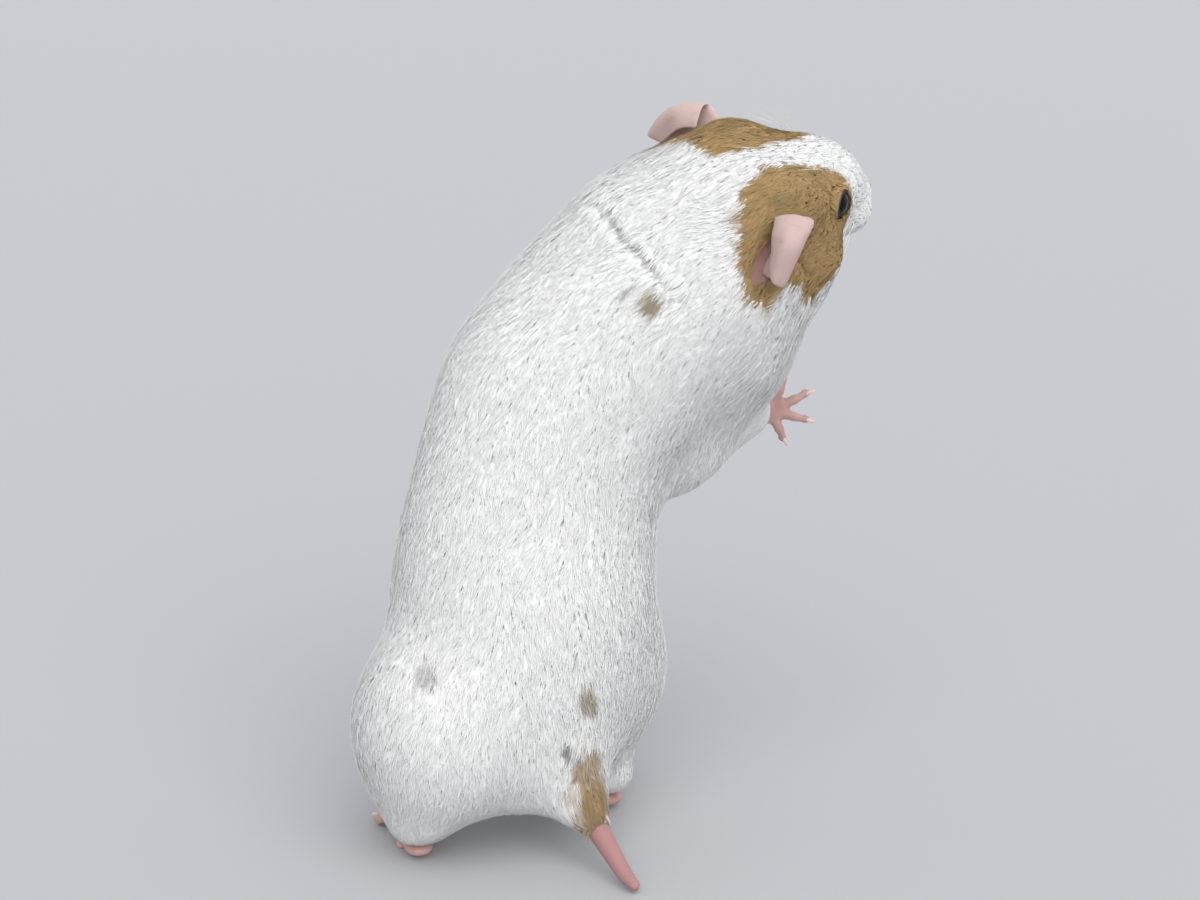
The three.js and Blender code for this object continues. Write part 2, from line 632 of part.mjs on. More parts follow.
function hindFoot({ heel, toes }) {
  const sole = [heel[0] + toes[0] * HEEL_TO_SOLE, heel[1] + toes[1] * HEEL_TO_SOLE, SOLE_HEIGHT];
  return pawSolid({
    palm: sole,
    forward: toes,
    up: [0, 0, 1],
    palmRadii: [7.5, 3.6, 2.3],
    turns: [-38, -17, 0, 17, 38],
    lengths: [9.6, 12.2, 12.8, 12.2, 9.6],
    thick: 1.35,
    droop: -0.5,
  }).subtract(UNDER_FLOOR);
}

function forePaw({ wrist, grip }) {
  const palm = vec(wrist).addScaledVector(vec(grip).normalize(), WRIST_TO_PALM).add(vec(PALM_AHEAD)).toArray();
  return pawSolid({
    palm,
    forward: grip,
    up: [0, -1, 0],
    palmRadii: [2.6, 3, 1.8],
    turns: [-62, -18, 20, 66],
    lengths: [9, 10.4, 10.4, 8.8],
    thick: 1.05,
    droop: -0.3,
  });
}

// ---- the model ----
const hamster = new THREE.Group();
const coat = (colour) => new THREE.MeshStandardMaterial({ color: colour, roughness: 0.9, metalness: 0 });
const bare = () => new THREE.MeshStandardMaterial({ color: SKIN_PINK, roughness: 0.55, metalness: 0 });
const glossBlack = () => new THREE.MeshStandardMaterial({ color: EYE_BLACK, roughness: 0.08, metalness: 0 });

function addNode(name, solid, material) {
  const mesh = new THREE.Mesh(geometryOf(solid), material);
  mesh.name = name;
  hamster.add(mesh);
}

for (const [name, solid] of Object.entries(bodyPieces())) {
  addNode(name, solid, coat(name === "head" ? COAT_TAN : COAT_WHITE));
}
addNode("tail", clearOfBody(tailSolid()), bare());
for (const [name, side] of [["left", -1], ["right", 1]]) {
  addNode("eye_" + name, ball(eyePlace(side), Array(3).fill(EYE_RADIUS), 0, EYE_SIDES), glossBlack());
  addNode("forepaw_" + name, clearOfBody(forePaw(FORE[name])), bare());
  addNode("hindfoot_" + name, clearOfBody(hindFoot(HIND[name])), bare());
  addNode("ear_" + name, clearOfBody(earSolid(side)), bare());
}

// The origin goes to the bottom centre of the box round the whole animal.
const middle = new THREE.Box3().setFromObject(hamster).getCenter(new THREE.Vector3());
hamster.position.set(-middle.x, -middle.y, 0);

export default hamster;
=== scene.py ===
"""A Syrian hamster, life size, reared up on its hind legs: one skin, mesh tufts for the coat, eyes, claws, whiskers.

The frame's solids are the outline of the coat's tips. The skin is made from them and lies inside them by the
coat's depth, and the tufts that grow from it reach back out to them. Numbers are millimetres until mesh_of()
turns them into metres. Places on the body are measured from a point on the floor under the pelvis, with the
belly towards +Y, and places on the head from the middle of the skull: forward, right, up.
"""
import json
import math

import bmesh
import bpy
import numpy as np
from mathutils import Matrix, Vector
from mathutils.kdtree import KDTree

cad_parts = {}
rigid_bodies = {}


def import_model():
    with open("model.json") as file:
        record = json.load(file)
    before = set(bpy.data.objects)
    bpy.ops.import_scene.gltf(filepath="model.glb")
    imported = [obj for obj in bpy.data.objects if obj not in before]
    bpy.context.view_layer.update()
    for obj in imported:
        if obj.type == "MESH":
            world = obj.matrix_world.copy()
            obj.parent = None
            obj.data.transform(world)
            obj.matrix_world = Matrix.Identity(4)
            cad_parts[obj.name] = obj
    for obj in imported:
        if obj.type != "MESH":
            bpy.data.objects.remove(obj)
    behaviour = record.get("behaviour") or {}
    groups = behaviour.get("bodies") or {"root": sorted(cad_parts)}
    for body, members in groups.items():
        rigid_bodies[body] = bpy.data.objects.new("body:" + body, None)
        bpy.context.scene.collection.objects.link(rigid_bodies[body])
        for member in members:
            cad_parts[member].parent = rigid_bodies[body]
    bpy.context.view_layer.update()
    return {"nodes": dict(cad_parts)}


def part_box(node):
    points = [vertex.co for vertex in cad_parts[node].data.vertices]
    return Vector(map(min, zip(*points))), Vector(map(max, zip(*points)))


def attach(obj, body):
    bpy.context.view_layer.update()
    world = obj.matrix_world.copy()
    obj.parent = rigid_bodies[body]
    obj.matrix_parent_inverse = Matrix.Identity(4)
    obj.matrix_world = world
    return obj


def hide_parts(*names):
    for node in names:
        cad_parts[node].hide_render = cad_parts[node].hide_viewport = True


for leftover in list(bpy.data.objects):
    bpy.data.objects.remove(leftover)
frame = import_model()

MM = 0.001
SIDES = {"left": -1, "right": 1}


# ---- small helpers ----
def unit(v):
    return v / np.maximum(np.linalg.norm(v, axis=-1, keepdims=True), 1e-9)


def ramp(x, low, high):
    """0 at low, 1 at high and smooth between them; low may be the larger."""
    t = np.clip((x - low) / (high - low), 0, 1)
    return t * t * (3 - 2 * t)


def mix(a, b, share):
    return a + (b - a) * share


def waves(points, length, seed, count=8):
    """Smooth noise, mostly within -1 and 1, whose swells are about length across."""
    draw = np.random.default_rng(seed)
    turns = unit(draw.normal(size=(count, 3))) * draw.uniform(0.6, 1.6, (count, 1)) * 2 * math.pi / length
    phases = draw.uniform(0, 2 * math.pi, count)
    return np.sin(points @ turns.T + phases).sum(axis=1) * 0.8 / math.sqrt(count)


def shade(code):
    """An sRGB colour code as linear red, green and blue."""
    values = np.array([int(code[i:i + 2], 16) / 255 for i in (0, 2, 4)])
    return np.where(values <= 0.04045, values / 12.92, ((values + 0.055) / 1.055) ** 2.4)


def read(items, name, width, kind=np.float32):
    values = np.empty(len(items) * width, kind)
    items.foreach_get(name, values)
    return values.reshape(-1, width)


# ---- frames ----
def centre(node):
    low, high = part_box(node)
    return np.array((low + high) / 2) / MM


EYE_AT = np.array([9.8, 7.7, 3.8])  # the right eye's middle, from the middle of the skull
EYE_RADIUS = 3.1
HEAD_FORWARD = np.array([0.86, 0.49, 0.12])
HEAD_PLACE = np.array([39, 11.8, 115.4])

eyes = {side: centre("eye_" + side) for side in SIDES}
right = unit(eyes["right"] - eyes["left"])
forward = unit(HEAD_FORWARD - right * (HEAD_FORWARD @ right))
HEAD_AXES = np.array([forward, right, np.cross(right, forward)])
SKULL = (eyes["right"] + eyes["left"]) / 2 - np.array([EYE_AT[0], 0, EYE_AT[2]]) @ HEAD_AXES
DATUM = SKULL - HEAD_PLACE


def on_head(*place):
    return SKULL + np.array(place, float) @ HEAD_AXES


def on_body(*place):
    return DATUM + np.array(place, float)


def head_view(points):
    return (points - SKULL) @ HEAD_AXES.T


# ---- the body's axes, from which the coat's lie and its unwrap follow ----
SPINE = [(32, 10, 112), (13.8, 5.8, 93.5), (4, 3.2, 81), (-0.2, 1, 70), (-2.2, -3, 48), (-6, -5.5, 27), (-6, -6.5, 12)]
LIMBS = {
    "foreleg_right": [(32, 12.5, 89), (24, 12.5, 69.5), (39.3, 27, 71.8)],
    "foreleg_left": [(5, 18, 91), (-3.5, 25.5, 79), (2.5, 31, 89.5)],
    "hindleg_left": [(-15, -9, 38), (-21.2, -11.2, 18), (-23, -18, 4)],
    "hindleg_right": [(14, 4, 42), (16, 7, 22), (11.5, 2.5, 4)],
    "tail": [(4, -15, 16), (9.5, -22.5, 7.6), (14, -28, 3)],
}
CHAINS = [("head", 15, [on_head(26, 0, -3), on_head(8, 0, 0), on_head(-16, 0, 2)])]
CHAINS += [("trunk", 21, [on_body(*p) for p in SPINE])]
GIRTHS = {"foreleg_right": 10, "foreleg_left": 9, "hindleg_left": 14, "hindleg_right": 14, "tail": 6}
CHAINS += [(name, GIRTHS[name], [on_body(*p) for p in line]) for name, line in LIMBS.items()]
WRISTS = {"right": on_body(39.3, 27, 71.8), "left": on_body(2.5, 31, 89.5)}
HEELS = {"right": on_body(11.5, 2.5, 7.5), "left": on_body(-23, -18, 7.5)}


# ---- meshes ----
def mesh_of(name, points, faces):
    """A Blender mesh from points in millimetres and faces of one length."""
    mesh = bpy.data.meshes.new(name)
    count, width = faces.shape
    mesh.vertices.add(len(points))
    mesh.vertices.foreach_set("co", (points * MM).astype(np.float32).ravel())
    mesh.loops.add(count * width)
    mesh.loops.foreach_set("vertex_index", faces.astype(np.int32).ravel())
    mesh.polygons.add(count)
    mesh.polygons.foreach_set("loop_start", np.arange(0, count * width, width, dtype=np.int32))
    mesh.update(calc_edges=True)
    return mesh


def mesh_piece(name, mesh, material):
    """A piece that rides on the body and takes its finish from a slot."""
    piece = bpy.data.objects.new(name, mesh)
    bpy.context.scene.collection.objects.link(piece)
    mesh.materials.append(material)
    mesh.polygons.foreach_set("use_smooth", np.ones(len(mesh.polygons), bool))
    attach(piece, "root")
    return piece


def paint(mesh, colours):
    """Gives each vertex its colour, as the attribute that the materials read."""
    layer = mesh.color_attributes.new("tint", "FLOAT_COLOR", "POINT")
    rgba = np.ones((len(colours), 4), np.float32)
    rgba[:, :3] = colours
    layer.data.foreach_set("color", rgba.ravel())


def joined(parts):
    """Several (points, faces) as one."""
    starts = np.cumsum([0] + [len(points) for points, _ in parts[:-1]])
    points = np.concatenate([points for points, _ in parts])
    return points, np.concatenate([faces + start for (_, faces), start in zip(parts, starts)])


def edges_of(faces):
    """Each pair of neighbouring vertices once."""
    ends = np.concatenate([faces[:, [i, (i + 1) % faces.shape[1]]] for i in range(faces.shape[1])])
    ends.sort(axis=1)
    keys = np.unique(ends[:, 0].astype(np.int64) << 32 | ends[:, 1])
    return np.stack([keys >> 32, keys & 0xFFFFFFFF], axis=1)


def spread(values, edges, times, share=0.5, undo=0.0):
    """Evens a value out over neighbouring vertices. With undo, every second pass gives back what shrank."""
    count = np.maximum(np.bincount(edges.ravel(), minlength=len(values)), 1)[:, None]
    a, b = edges.T
    for turn in range(times):
        sums = np.stack([
            np.bincount(a, column[b], len(values)) + np.bincount(b, column[a], len(values)) for column in values.T
        ], axis=1)
        step = -undo if undo and turn % 2 else share
        values = values + (sums / count - values) * step
    return values


def vertex_normals(points, faces):
    corner = points[faces]
    first = corner[:, 2] - corner[:, 0]
    second = corner[:, 3] - corner[:, 1] if faces.shape[1] == 4 else corner[:, 2] - corner[:, 1]
    flat = np.cross(first, second)
    total = np.stack([
        sum(np.bincount(faces[:, i], flat[:, axis], len(points)) for i in range(faces.shape[1])) for axis in range(3)
    ], axis=1)
    return unit(total)


def solid(node, grow=0.0):
    """A CAD node's points and triangles with shared corners merged, and grown outwards a little."""
    mesh = frame["nodes"][node].data
    mesh.calc_loop_triangles()
    loose = read(mesh.vertices, "co", 3) / MM
    points, place = np.unique(np.round(loose, 3), axis=0, return_inverse=True)
    faces = place.ravel()[read(mesh.loop_triangles, "vertices", 3, np.int32)]
    return points + vertex_normals(points, faces) * grow, faces


def fused(parts, cell):
    """One closed net of quads round overlapping closed parts."""
    holder = bpy.data.objects.new("holder", mesh_of("holder", *joined(parts)))
    bpy.context.scene.collection.objects.link(holder)
    remesh = holder.modifiers.new("remesh", "REMESH")
    remesh.mode = "VOXEL"
    remesh.voxel_size = cell * MM
    seen = holder.evaluated_get(bpy.context.evaluated_depsgraph_get())
    mesh = bpy.data.meshes.new_from_object(seen)
    bpy.data.objects.remove(holder)
    points = read(mesh.vertices, "co", 3).astype(float) / MM
    faces = read(mesh.loops, "vertex_index", 1, np.int32).reshape(-1, 4)
    bpy.data.meshes.remove(mesh)
    return points, faces


def curve(points, count):
    """A smooth line through points, as count places along it."""
    points = np.array(points, float)
    padded = np.vstack([2 * points[0] - points[1], points, 2 * points[-1] - points[-2]])
    t = np.linspace(0, len(points) - 1, count)
    i = np.minimum(t.astype(int), len(points) - 2)
    t = (t - i)[:, None]
    a, b, c, d = (padded[i + k] for k in range(4))
    return 0.5 * (2 * b + (c - a) * t + (2 * a - 5 * b + 4 * c - d) * t ** 2 + (3 * b - a - 3 * c + d) * t ** 3)


def closed(rings, first, last):
    """Rings of points joined into a closed part with a point at each end."""
    count, sides = rings.shape[:2]
    points = np.vstack([rings.reshape(-1, 3), [first], [last]])
    ring = np.arange(count - 1)[:, None] * sides
    here = ring + np.arange(sides)
    there = ring + (np.arange(sides) + 1) % sides
    faces = np.concatenate([
        np.stack([here, there + sides, here + sides], axis=-1).reshape(-1, 3),
        np.stack([here, there, there + sides], axis=-1).reshape(-1, 3),
        np.stack([np.full(sides, count * sides), there[0], here[0]], axis=1),
        np.stack([np.full(sides, count * sides + 1), here[-1] + sides, there[-1] + sides], axis=1),
    ])
    return points, faces


def tube(line, radii, sides, steps, flat=1.0, up=(0, 0, 1)):
    """A closed tapering tube with domed ends, flattened along up."""
    DOME = np.array([0.4, 0.75, 0.95])
    middle = curve(line, steps)
    girth = curve(np.array(radii, float)[:, None], steps)[:, 0]
    along = unit(np.gradient(middle, axis=0))
    before = middle[0] - along[0] * girth[0] * DOME[::-1, None]
    after = middle[-1] + along[-1] * girth[-1] * DOME[:, None]
    narrowing = np.sqrt(1 - DOME ** 2)
    first = middle[0] - along[0] * girth[0]
    last = middle[-1] + along[-1] * girth[-1]
    girth = np.concatenate([girth[0] * narrowing[::-1], girth, girth[-1] * narrowing])
    along = np.vstack([along[:1]] * len(DOME) + [along] + [along[-1:]] * len(DOME))
    middle = np.vstack([before, middle, after])
    side = unit(np.cross(along, np.array(up, float)))
    rise = np.cross(side, along)
    angle = np.arange(sides) / sides * 2 * math.pi
    wide = side[:, None] * np.cos(angle)[None, :, None]
    deep = rise[:, None] * np.sin(angle)[None, :, None] * flat
    return closed(middle[:, None] + girth[:, None, None] * (wide + deep), first, last)


def ball(at, radii, axes=np.eye(3), sides=18):
    """A closed ellipsoid; the rows of axes are the directions of its radii."""
    level = np.linspace(math.pi / 2, -math.pi / 2, sides // 2 + 1)[1:-1]
    angle = np.arange(sides) / sides * 2 * math.pi
    rings = np.stack([
        np.cos(level)[:, None] * np.cos(angle), np.cos(level)[:, None] * np.sin(angle),
        np.sin(level)[:, None] * np.ones(sides),
    ], axis=-1)
    points, faces = closed(rings, (0, 0, 1), (0, 0, -1))
    return np.array(at) + (points * np.array(radii)) @ np.array(axes), faces


# ---- the coat's depth ----
FULL_DEPTH = 0.9
# Where the coat is thinner: the place, its depth there, and how far off it has its full depth.
THIN_PLACES = [
    (on_head(25, 0, -2), 0.15, 27),
    (WRISTS["right"], 0.4, 17),
    (WRISTS["left"], 0.4, 15),
    (HEELS["right"], 0.5, 15),
    (HEELS["left"], 0.5, 15),
    (on_body(10, -23, 7), 0.5, 8),
]


def coat_depth(points):
    depth = np.full(len(points), FULL_DEPTH)
    for place, thin, reach in THIN_PLACES:
        away = np.linalg.norm(points - place, axis=1) / reach
        depth = np.minimum(depth, mix(thin, FULL_DEPTH, np.clip(away, 0, 1) ** 1.2))
    return depth


# ---- the head's surface: forward, right, up of the middle of the skull ----
def ellipsoid(at, radii):
    at, radii = np.array(at, float), np.array(radii, float)

    def distance(q):
        scaled = (q - at) / radii
        near = np.linalg.norm(scaled, axis=1)
        slope = np.linalg.norm(scaled / radii, axis=1)
        return near * (near - 1) / np.maximum(slope, 1e-6)

    return distance


def rod(a, b, radius):
    a, b = np.array(a, float), np.array(b, float)

    def distance(q):
        t = np.clip((q - a) @ (b - a) / ((b - a) @ (b - a)), 0, 1)
        return np.linalg.norm(q - a - t[:, None] * (b - a), axis=1) - radius

    return distance


def fillet(a, b, k):
    h = np.maximum(k - np.abs(a - b), 0) / k
    return np.minimum(a, b) - h * h * k / 4


def pair(at, radii):
    return [ellipsoid((at[0], side * at[1], at[2]), radii) for side in (-1, 1)]


HEAD_BULK = [
    ellipsoid((-2.5, 0, 0.2), (17, 14.2, 12.3)),
    ellipsoid((8.5, 0, 3.4), (11.5, 9.4, 7.4)),
    ellipsoid((14.8, 0, -2.2), (10.2, 7, 6.8)),
    ellipsoid((8.5, 0, -9.6), (10.5, 7, 5)),
    *pair((-4, 7.4, 4.4), (9.5, 8, 8)),
    *pair((1.5, 8.8, -6.5), (12, 9.2, 8.8)),
]
HEAD_FORMS = [
    *pair((9, 7, 1.2), (5.2, 3.8, 4.6)),
    *pair((18.6, 3.2, -4.6), (5.4, 4, 4.1)),
    ellipsoid((18.4, 0, -8.6), (4, 3, 2.4)),
]


def head_outline(q):
    """Distance outside the head's outline, to the tips of its coat."""
    d = HEAD_BULK[0](q)
    for part in HEAD_BULK[1:]:
        d = fillet(d, part(q), 4.5)
    for part in HEAD_FORMS:
        d = fillet(d, part(q), 2)
    return d


NOSE_AT = np.array([24.2, 0, -1.7])
NOSE_RADII = np.array([1.3, 1.9, 1.5])


def face_distance(q, depth):
    """Distance outside the skin of the face: nose pad, nostrils, the cleft under the nose and the mouth."""
    d = head_outline(q) + depth
    d = fillet(d, ellipsoid(NOSE_AT, NOSE_RADII)(q), 0.9)
    mirrored = q * np.array([1, 0, 1]) + np.abs(q) * np.array([0, 1, 0])
    for cut, k in (
        (ellipsoid((25.4, 0.95, -1.9), (0.75, 0.42, 0.55)), 0.4),
        (rod((25.2, 1.2, -1.7), (23.6, 2.2, -1.1), 0.16), 0.35),
        (rod((25.6, 0, -2.6), (23.3, 0, -6.6), 0.3), 0.7),
        (rod((23.2, 0.3, -6.9), (20.5, 3.1, -8.6), 0.28), 0.8),
        (rod((20.5, 3.1, -8.6), (15.5, 5.6, -9.0), 0.25), 0.8),
    ):
        d = -fillet(-d, cut(mirrored), k)
    return d


# ---- the eyes' lids ----
LID_GAP = 0.25  # between the lids' skin and the eyeball
LID_RIM = 0.17  # half the thickness of the rim round the opening
INNER = 0.94  # where the skin dives under the rim, as a share of the opening
OPENING = (1.8, 2.15)  # half the opening between the lids, front to back and up and down
EYE_AXIS = unit(np.array([0.42, 0.86, 0.3]))  # which way the right eye looks, on the head


def eye_frame(side):
    """The way an eye looks, the way to its front corner, and the way to its upper lid, on the head."""
    look = EYE_AXIS * np.array([1, side, 1])
    front = unit(np.array([1, 0, -0.28]) - look * (look @ np.array([1, 0, -0.28])))
    return np.array([look, front, np.cross(front, look) * -side])


def lid_rim(side):
    """The rounded rim of the lids, as a closed ring on the eyeball."""
    around = np.linspace(0, 2 * math.pi, 73)[:-1]
    long, high = (half / EYE_RADIUS for half in OPENING)
    local = np.stack([np.zeros(len(around)), long * np.cos(around), high * np.sin(around)], axis=1)
    local[:, 0] = np.sqrt(1 - (local ** 2).sum(axis=1))
    outward = local @ eye_frame(side)
    middle = EYE_AT * np.array([1, side, 1]) + outward * (EYE_RADIUS + 0.1)
    along = unit(np.roll(middle, -1, axis=0) - np.roll(middle, 1, axis=0))
    level = np.cross(along, outward)
    turn = np.arange(10) / 10 * 2 * math.pi
    rings = middle[:, None] + LID_RIM * (
        outward[:, None] * np.cos(turn)[None, :, None] + level[:, None] * np.sin(turn)[None, :, None]
    )
    index = np.arange(rings[..., 0].size).reshape(rings.shape[:2])
    right_of, below = np.roll(index, -1, axis=1), np.roll(index, -1, axis=0)
    faces = np.stack([index, right_of, np.roll(right_of, -1, axis=0), below], axis=-1).reshape(-1, 4)
    return SKULL + rings.reshape(-1, 3) @ HEAD_AXES, triangles(faces)


def from_opening(local):
    """How far a way from an eye's middle is from the middle of the lids' opening; 1 on the rim."""
    on_ball = unit(local) * EYE_RADIUS
    return np.where(local[:, 0] > 0, np.hypot(on_ball[:, 1] / OPENING[0], on_ball[:, 2] / OPENING[1]), 9)


def lidded(q):
    """Skin points round the eyes, laid over the eyeball with a hole between the lids."""
    for side in SIDES.values():
        at = EYE_AT * np.array([1, side, 1])
        local = (q - at) @ eye_frame(side).T
        away = np.linalg.norm(local, axis=1)
        facing = local[:, 0] > -0.2 * EYE_RADIUS
        hole = from_opening(local)
        over = EYE_RADIUS + LID_GAP
        goal = np.where(hole < INNER, EYE_RADIUS - 0.7, over)
        hold = ramp(np.where(facing, np.hypot(local[:, 1] / OPENING[0], local[:, 2] / OPENING[1]), 9), 2.2, 1.2)
        goal = mix(away, goal, np.where(hole < INNER, 1, hold))
        goal = np.maximum(goal, np.where((hole >= INNER) & facing, over, 0))
        q = at + (local * (goal / np.maximum(away, 1e-6))[:, None]) @ eye_frame(side)
    return q


# ---- the skin of the body and head ----
FLESH = ["head", "neck", "chest", "abdomen", "rump"]
FLESH += [f"{limb}_{side}" for limb in ("foreleg", "thigh", "shank") for side in SIDES]
CLOSING = 0.25  # how far each solid grows, so that the cuts between them close
BODY_CELL = 0.62
SOCKET_FILL = 0.5  # the filling of the eyes' sockets is this much larger than the eyes


def halved(points, faces, chosen):
    """Cuts the quads between chosen vertices in four and leaves triangles everywhere."""
    mesh = mesh_of("halved", points, faces)
    work = bmesh.new()
    work.from_mesh(mesh)
    work.verts.ensure_lookup_table()
    inner = [edge for edge in work.edges if chosen[edge.verts[0].index] and chosen[edge.verts[1].index]]
    bmesh.ops.subdivide_edges(work, edges=inner, cuts=1, use_grid_fill=True)
    bmesh.ops.triangulate(work, faces=work.faces[:])
    work.to_mesh(mesh)
    work.free()
    points = read(mesh.vertices, "co", 3).astype(float) / MM
    faces = read(mesh.loops, "vertex_index", 1, np.int32).reshape(-1, 3)
    bpy.data.meshes.remove(mesh)
    return points, faces


def settled(q, distance, passes=5, step=0.05):
    """Moves points straight to where a distance is nought."""
    for _ in range(passes):
        here = distance(q)
        slope = np.stack([(distance(q + move) - here) / step for move in np.eye(3) * step], axis=1)
        q = q - slope * (here / np.maximum((slope ** 2).sum(axis=1), 0.3))[:, None]
    return q


# Folds of loose skin, as lines along the coat's outside, with how deep and how wide they are.
FOLDS = [
    ([(9.6, 2.6, 117.4), (11.4, -0.4, 116), (15.2, -6.2, 111.2), (21.2, -10, 105.7), (25.5, -11, 101.5)], 0.55, 1.0),
]


def folded(points, normals, depth):
    """Presses the folds into the skin."""
    outside = points + normals * depth[:, None]
    for line, deep, half in FOLDS:
        line = [on_body(*place) for place in line]
        away = np.minimum.reduce([rod(a, b, 0)(outside) for a, b in zip(line[:-1], line[1:])])
        points = points - normals * (deep * np.exp(-(away / half) ** 2))[:, None]
    return points


def body_skin():
    filled_sockets = [ball(at, (EYE_RADIUS + SOCKET_FILL,) * 3) for at in eyes.values()]
    points, faces = fused([solid(node, CLOSING) for node in FLESH] + filled_sockets, BODY_CELL)
    points = spread(points, edges_of(faces), 26)
    points, faces = halved(points, faces, head_view(points)[:, 0] > 3)
    q = head_view(points)
    of_head = ramp(head_outline(q), 2.2, 0.9) * ramp(q[:, 0], -12, -3)
    depth = coat_depth(points)
    points = points - vertex_normals(points, faces) * (depth + CLOSING)[:, None]
    points = folded(points, vertex_normals(points, faces), depth)
    points -= vertex_normals(points, faces) * (HOLLOW_DEEP * hollow_share(head_view(points), 1.9))[:, None]
    points = spread(points, edges_of(faces), 4)
    chosen = np.nonzero(of_head > 0)[0]
    face = settled(head_view(points[chosen]), lambda at: face_distance(at, depth[chosen]))
    face = lidded(face)
    goal = SKULL + face @ HEAD_AXES
    points[chosen] = mix(points[chosen], goal, of_head[chosen, None])
    return points, faces


# ---- markings, and painted shade in the ears' hollows and along the nape's fold ----
WHITE = shade("f6f6f5")
TAN = shade("b09267")
OLIVE = shade("8b7b55")
RUMP_TAN = shade("a08864")
GREY = shade("7d7b7c")
EAR_PINK = shade("cebdb9")
# The deeper pink of the ears' hollows: partly the skin's own colour, partly painted shade of the recess under the
# flap.
HOLLOW_PINK_AND_SHADE = shade("b48c84")
PAW_PINK = shade("c6a29b")
DEEP_PINK = shade("a87a73")
TAIL_PINK = shade("ad8284")
NOSE_PINK = shade("b8928c")
LID_BROWN = shade("33251f")

# The tan patch of each side of the face, as (forward, up) of the middle of the skull.
FACE_PATCH = [
    (-11, 12.5), (-14.5, 5), (-13.8, -2.5), (-9.5, -4.5), (-5, -2), (-1.5, -3.5), (0.2, -8), (2.5, -10.6), (4.6, -8),
    (9, -5.5), (13, -3), (14.6, 2.5), (13.4, 7.5), (9.5, 13), (0, 16), (-7, 15),
]
# Where the white blaze ends to the right and left of the middle, against how far forward.
BLAZE = {"right": [(-12, 7.5), (-5, 4.6), (3, 4.7), (9, 5.6), (14, 7.5)], "left": [(-12, 2.6), (-4, 0.4), (4, 1.2), (14, 4.6)]}
# Short streaks and spots on the back, the grey ones along the nape's fold partly painted shade of the crease: from,
# to, half width, colour, strength.
SPOTS = [
    # Along the nape's fold: partly grey underfur in the parting, partly painted shade of the crease.
    ((11.4, -0.4, 116), (15.2, -6.2, 111.2), 0.6, GREY, 0.6),
    ((15.2, -6.2, 111.2), (21.2, -10, 105.7), 0.6, GREY, 0.6),
    ((13.4, -10.6, 102.3), (16.4, -10.1, 104.3), 0.45, GREY, 0.6),
    ((19.2, -11.2, 101.8), (19.6, -11.2, 100.8), 1.7, OLIVE, 0.85),
    ((20, -11.2, 101.6), (25.4, -11, 101.5), 0.4, GREY, 0.6),
    ((-20.6, -25.6, 40), (-19.8, -25.4, 38), 1.7, GREY, 0.5),
    ((7.9, -22.4, 33.4), (8.7, -22.2, 31.2), 1.7, OLIVE, 0.7),
    ((4.7, -23.7, 24.4), (4.8, -23.8, 22.4), 0.8, GREY, 0.8),
    ((6.6, -23, 21.4), (7.4, -22.6, 20.8), 1.1, GREY, 0.75),
    ((8.6, -21.8, 19.6), (9.6, -23.2, 13.6), 3.2, RUMP_TAN, 0.85),
    ((9.6, -23.2, 13.6), (9.2, -25, 7.6), 4.2, RUMP_TAN, 0.95),
]


def outline_distance(flat, outline):
    """Distance outside an outline in the plane, negative inside."""
    corners = np.array(outline, float)
    after = np.roll(corners, -1, axis=0)
    nearest = np.full(len(flat), np.inf)
    inside = np.zeros(len(flat), bool)
    for a, b in zip(corners, after):
        t = np.clip((flat - a) @ (b - a) / ((b - a) @ (b - a)), 0, 1)
        nearest = np.minimum(nearest, np.linalg.norm(flat - a - t[:, None] * (b - a), axis=1))
        crosses = (flat[:, 1] < a[1]) != (flat[:, 1] < b[1])
        inside ^= crosses & (flat[:, 0] < a[0] + (flat[:, 1] - a[1]) * (b[0] - a[0]) / (b[1] - a[1] + 1e-12))
    return np.where(inside, -nearest, nearest)


def tan_share(points):
    """How tan the coat is: 0 white, 1 tan, on the face alone."""
    q = head_view(points)
    wobble = waves(points, 5, 21) * 0.6 + waves(points, 2.2, 22) * 0.45
    patch = ramp(outline_distance(q[:, [0, 2]], FACE_PATCH) + wobble, 0.5, -0.5)
    edge = {side: np.interp(q[:, 0], *np.array(line).T) for side, line in BLAZE.items()}
    across = np.maximum(q[:, 1] - edge["right"], -q[:, 1] - edge["left"]) + wobble
    on_skull = np.linalg.norm(q, axis=1) < 30
    return patch * ramp(across, -0.4, 0.6) * on_skull


def seen_at(root, up, way, depth):
    """Where the coat that grows from a root shows: at its outside, a little further along."""
    return root + up * depth[:, None] * 0.9 + way * (0.6 * (0.9 + 1.6 * depth))[:, None]


def coat_colour(points):
    """The coat's colour where it is seen."""
    colour = np.repeat(WHITE[None], len(points), 0)
    share = tan_share(points)
    olive = 0.5 * ramp(waves(points, 7, 31) + 0.25 * waves(points, 2, 32), -0.1, 0.9)
    colour = mix(colour, mix(TAN, OLIVE, olive[:, None]), share[:, None])
    for start, end, half, paint_colour, strength in SPOTS:
        away = rod(on_body(*start), on_body(*end), 0)(points) + waves(points, 2.5, 41) * 0.35 * half
        colour = mix(colour, paint_colour, (strength * ramp(away, half * 1.5, half * 0.5))[:, None])
    return colour


# ---- bare places on the head ----
EAR_HOLLOW = [(-6, 11.6, 5.4), (-8.1, 14, 2.6), (-10.2, 17.2, -0.4)]  # the floor of the right ear
HOLLOW_HALF = 2.1
HOLLOW_DEEP = 1.6


def hollow_share(q, reach=1.0):
    """How deep in an ear's hollow a place on the head is."""
    mirrored = np.stack([q[:, 0], np.abs(q[:, 1]), q[:, 2]], axis=1)
    away = np.minimum(rod(*EAR_HOLLOW[:2], 0)(mirrored), rod(*EAR_HOLLOW[1:], 0)(mirrored))
    return ramp(away, HOLLOW_HALF * 1.25 * reach, HOLLOW_HALF * 0.8)


def nose_share(q):
    return ramp(np.linalg.norm((q - NOSE_AT) / NOSE_RADII, axis=1), 1.3, 1.08)


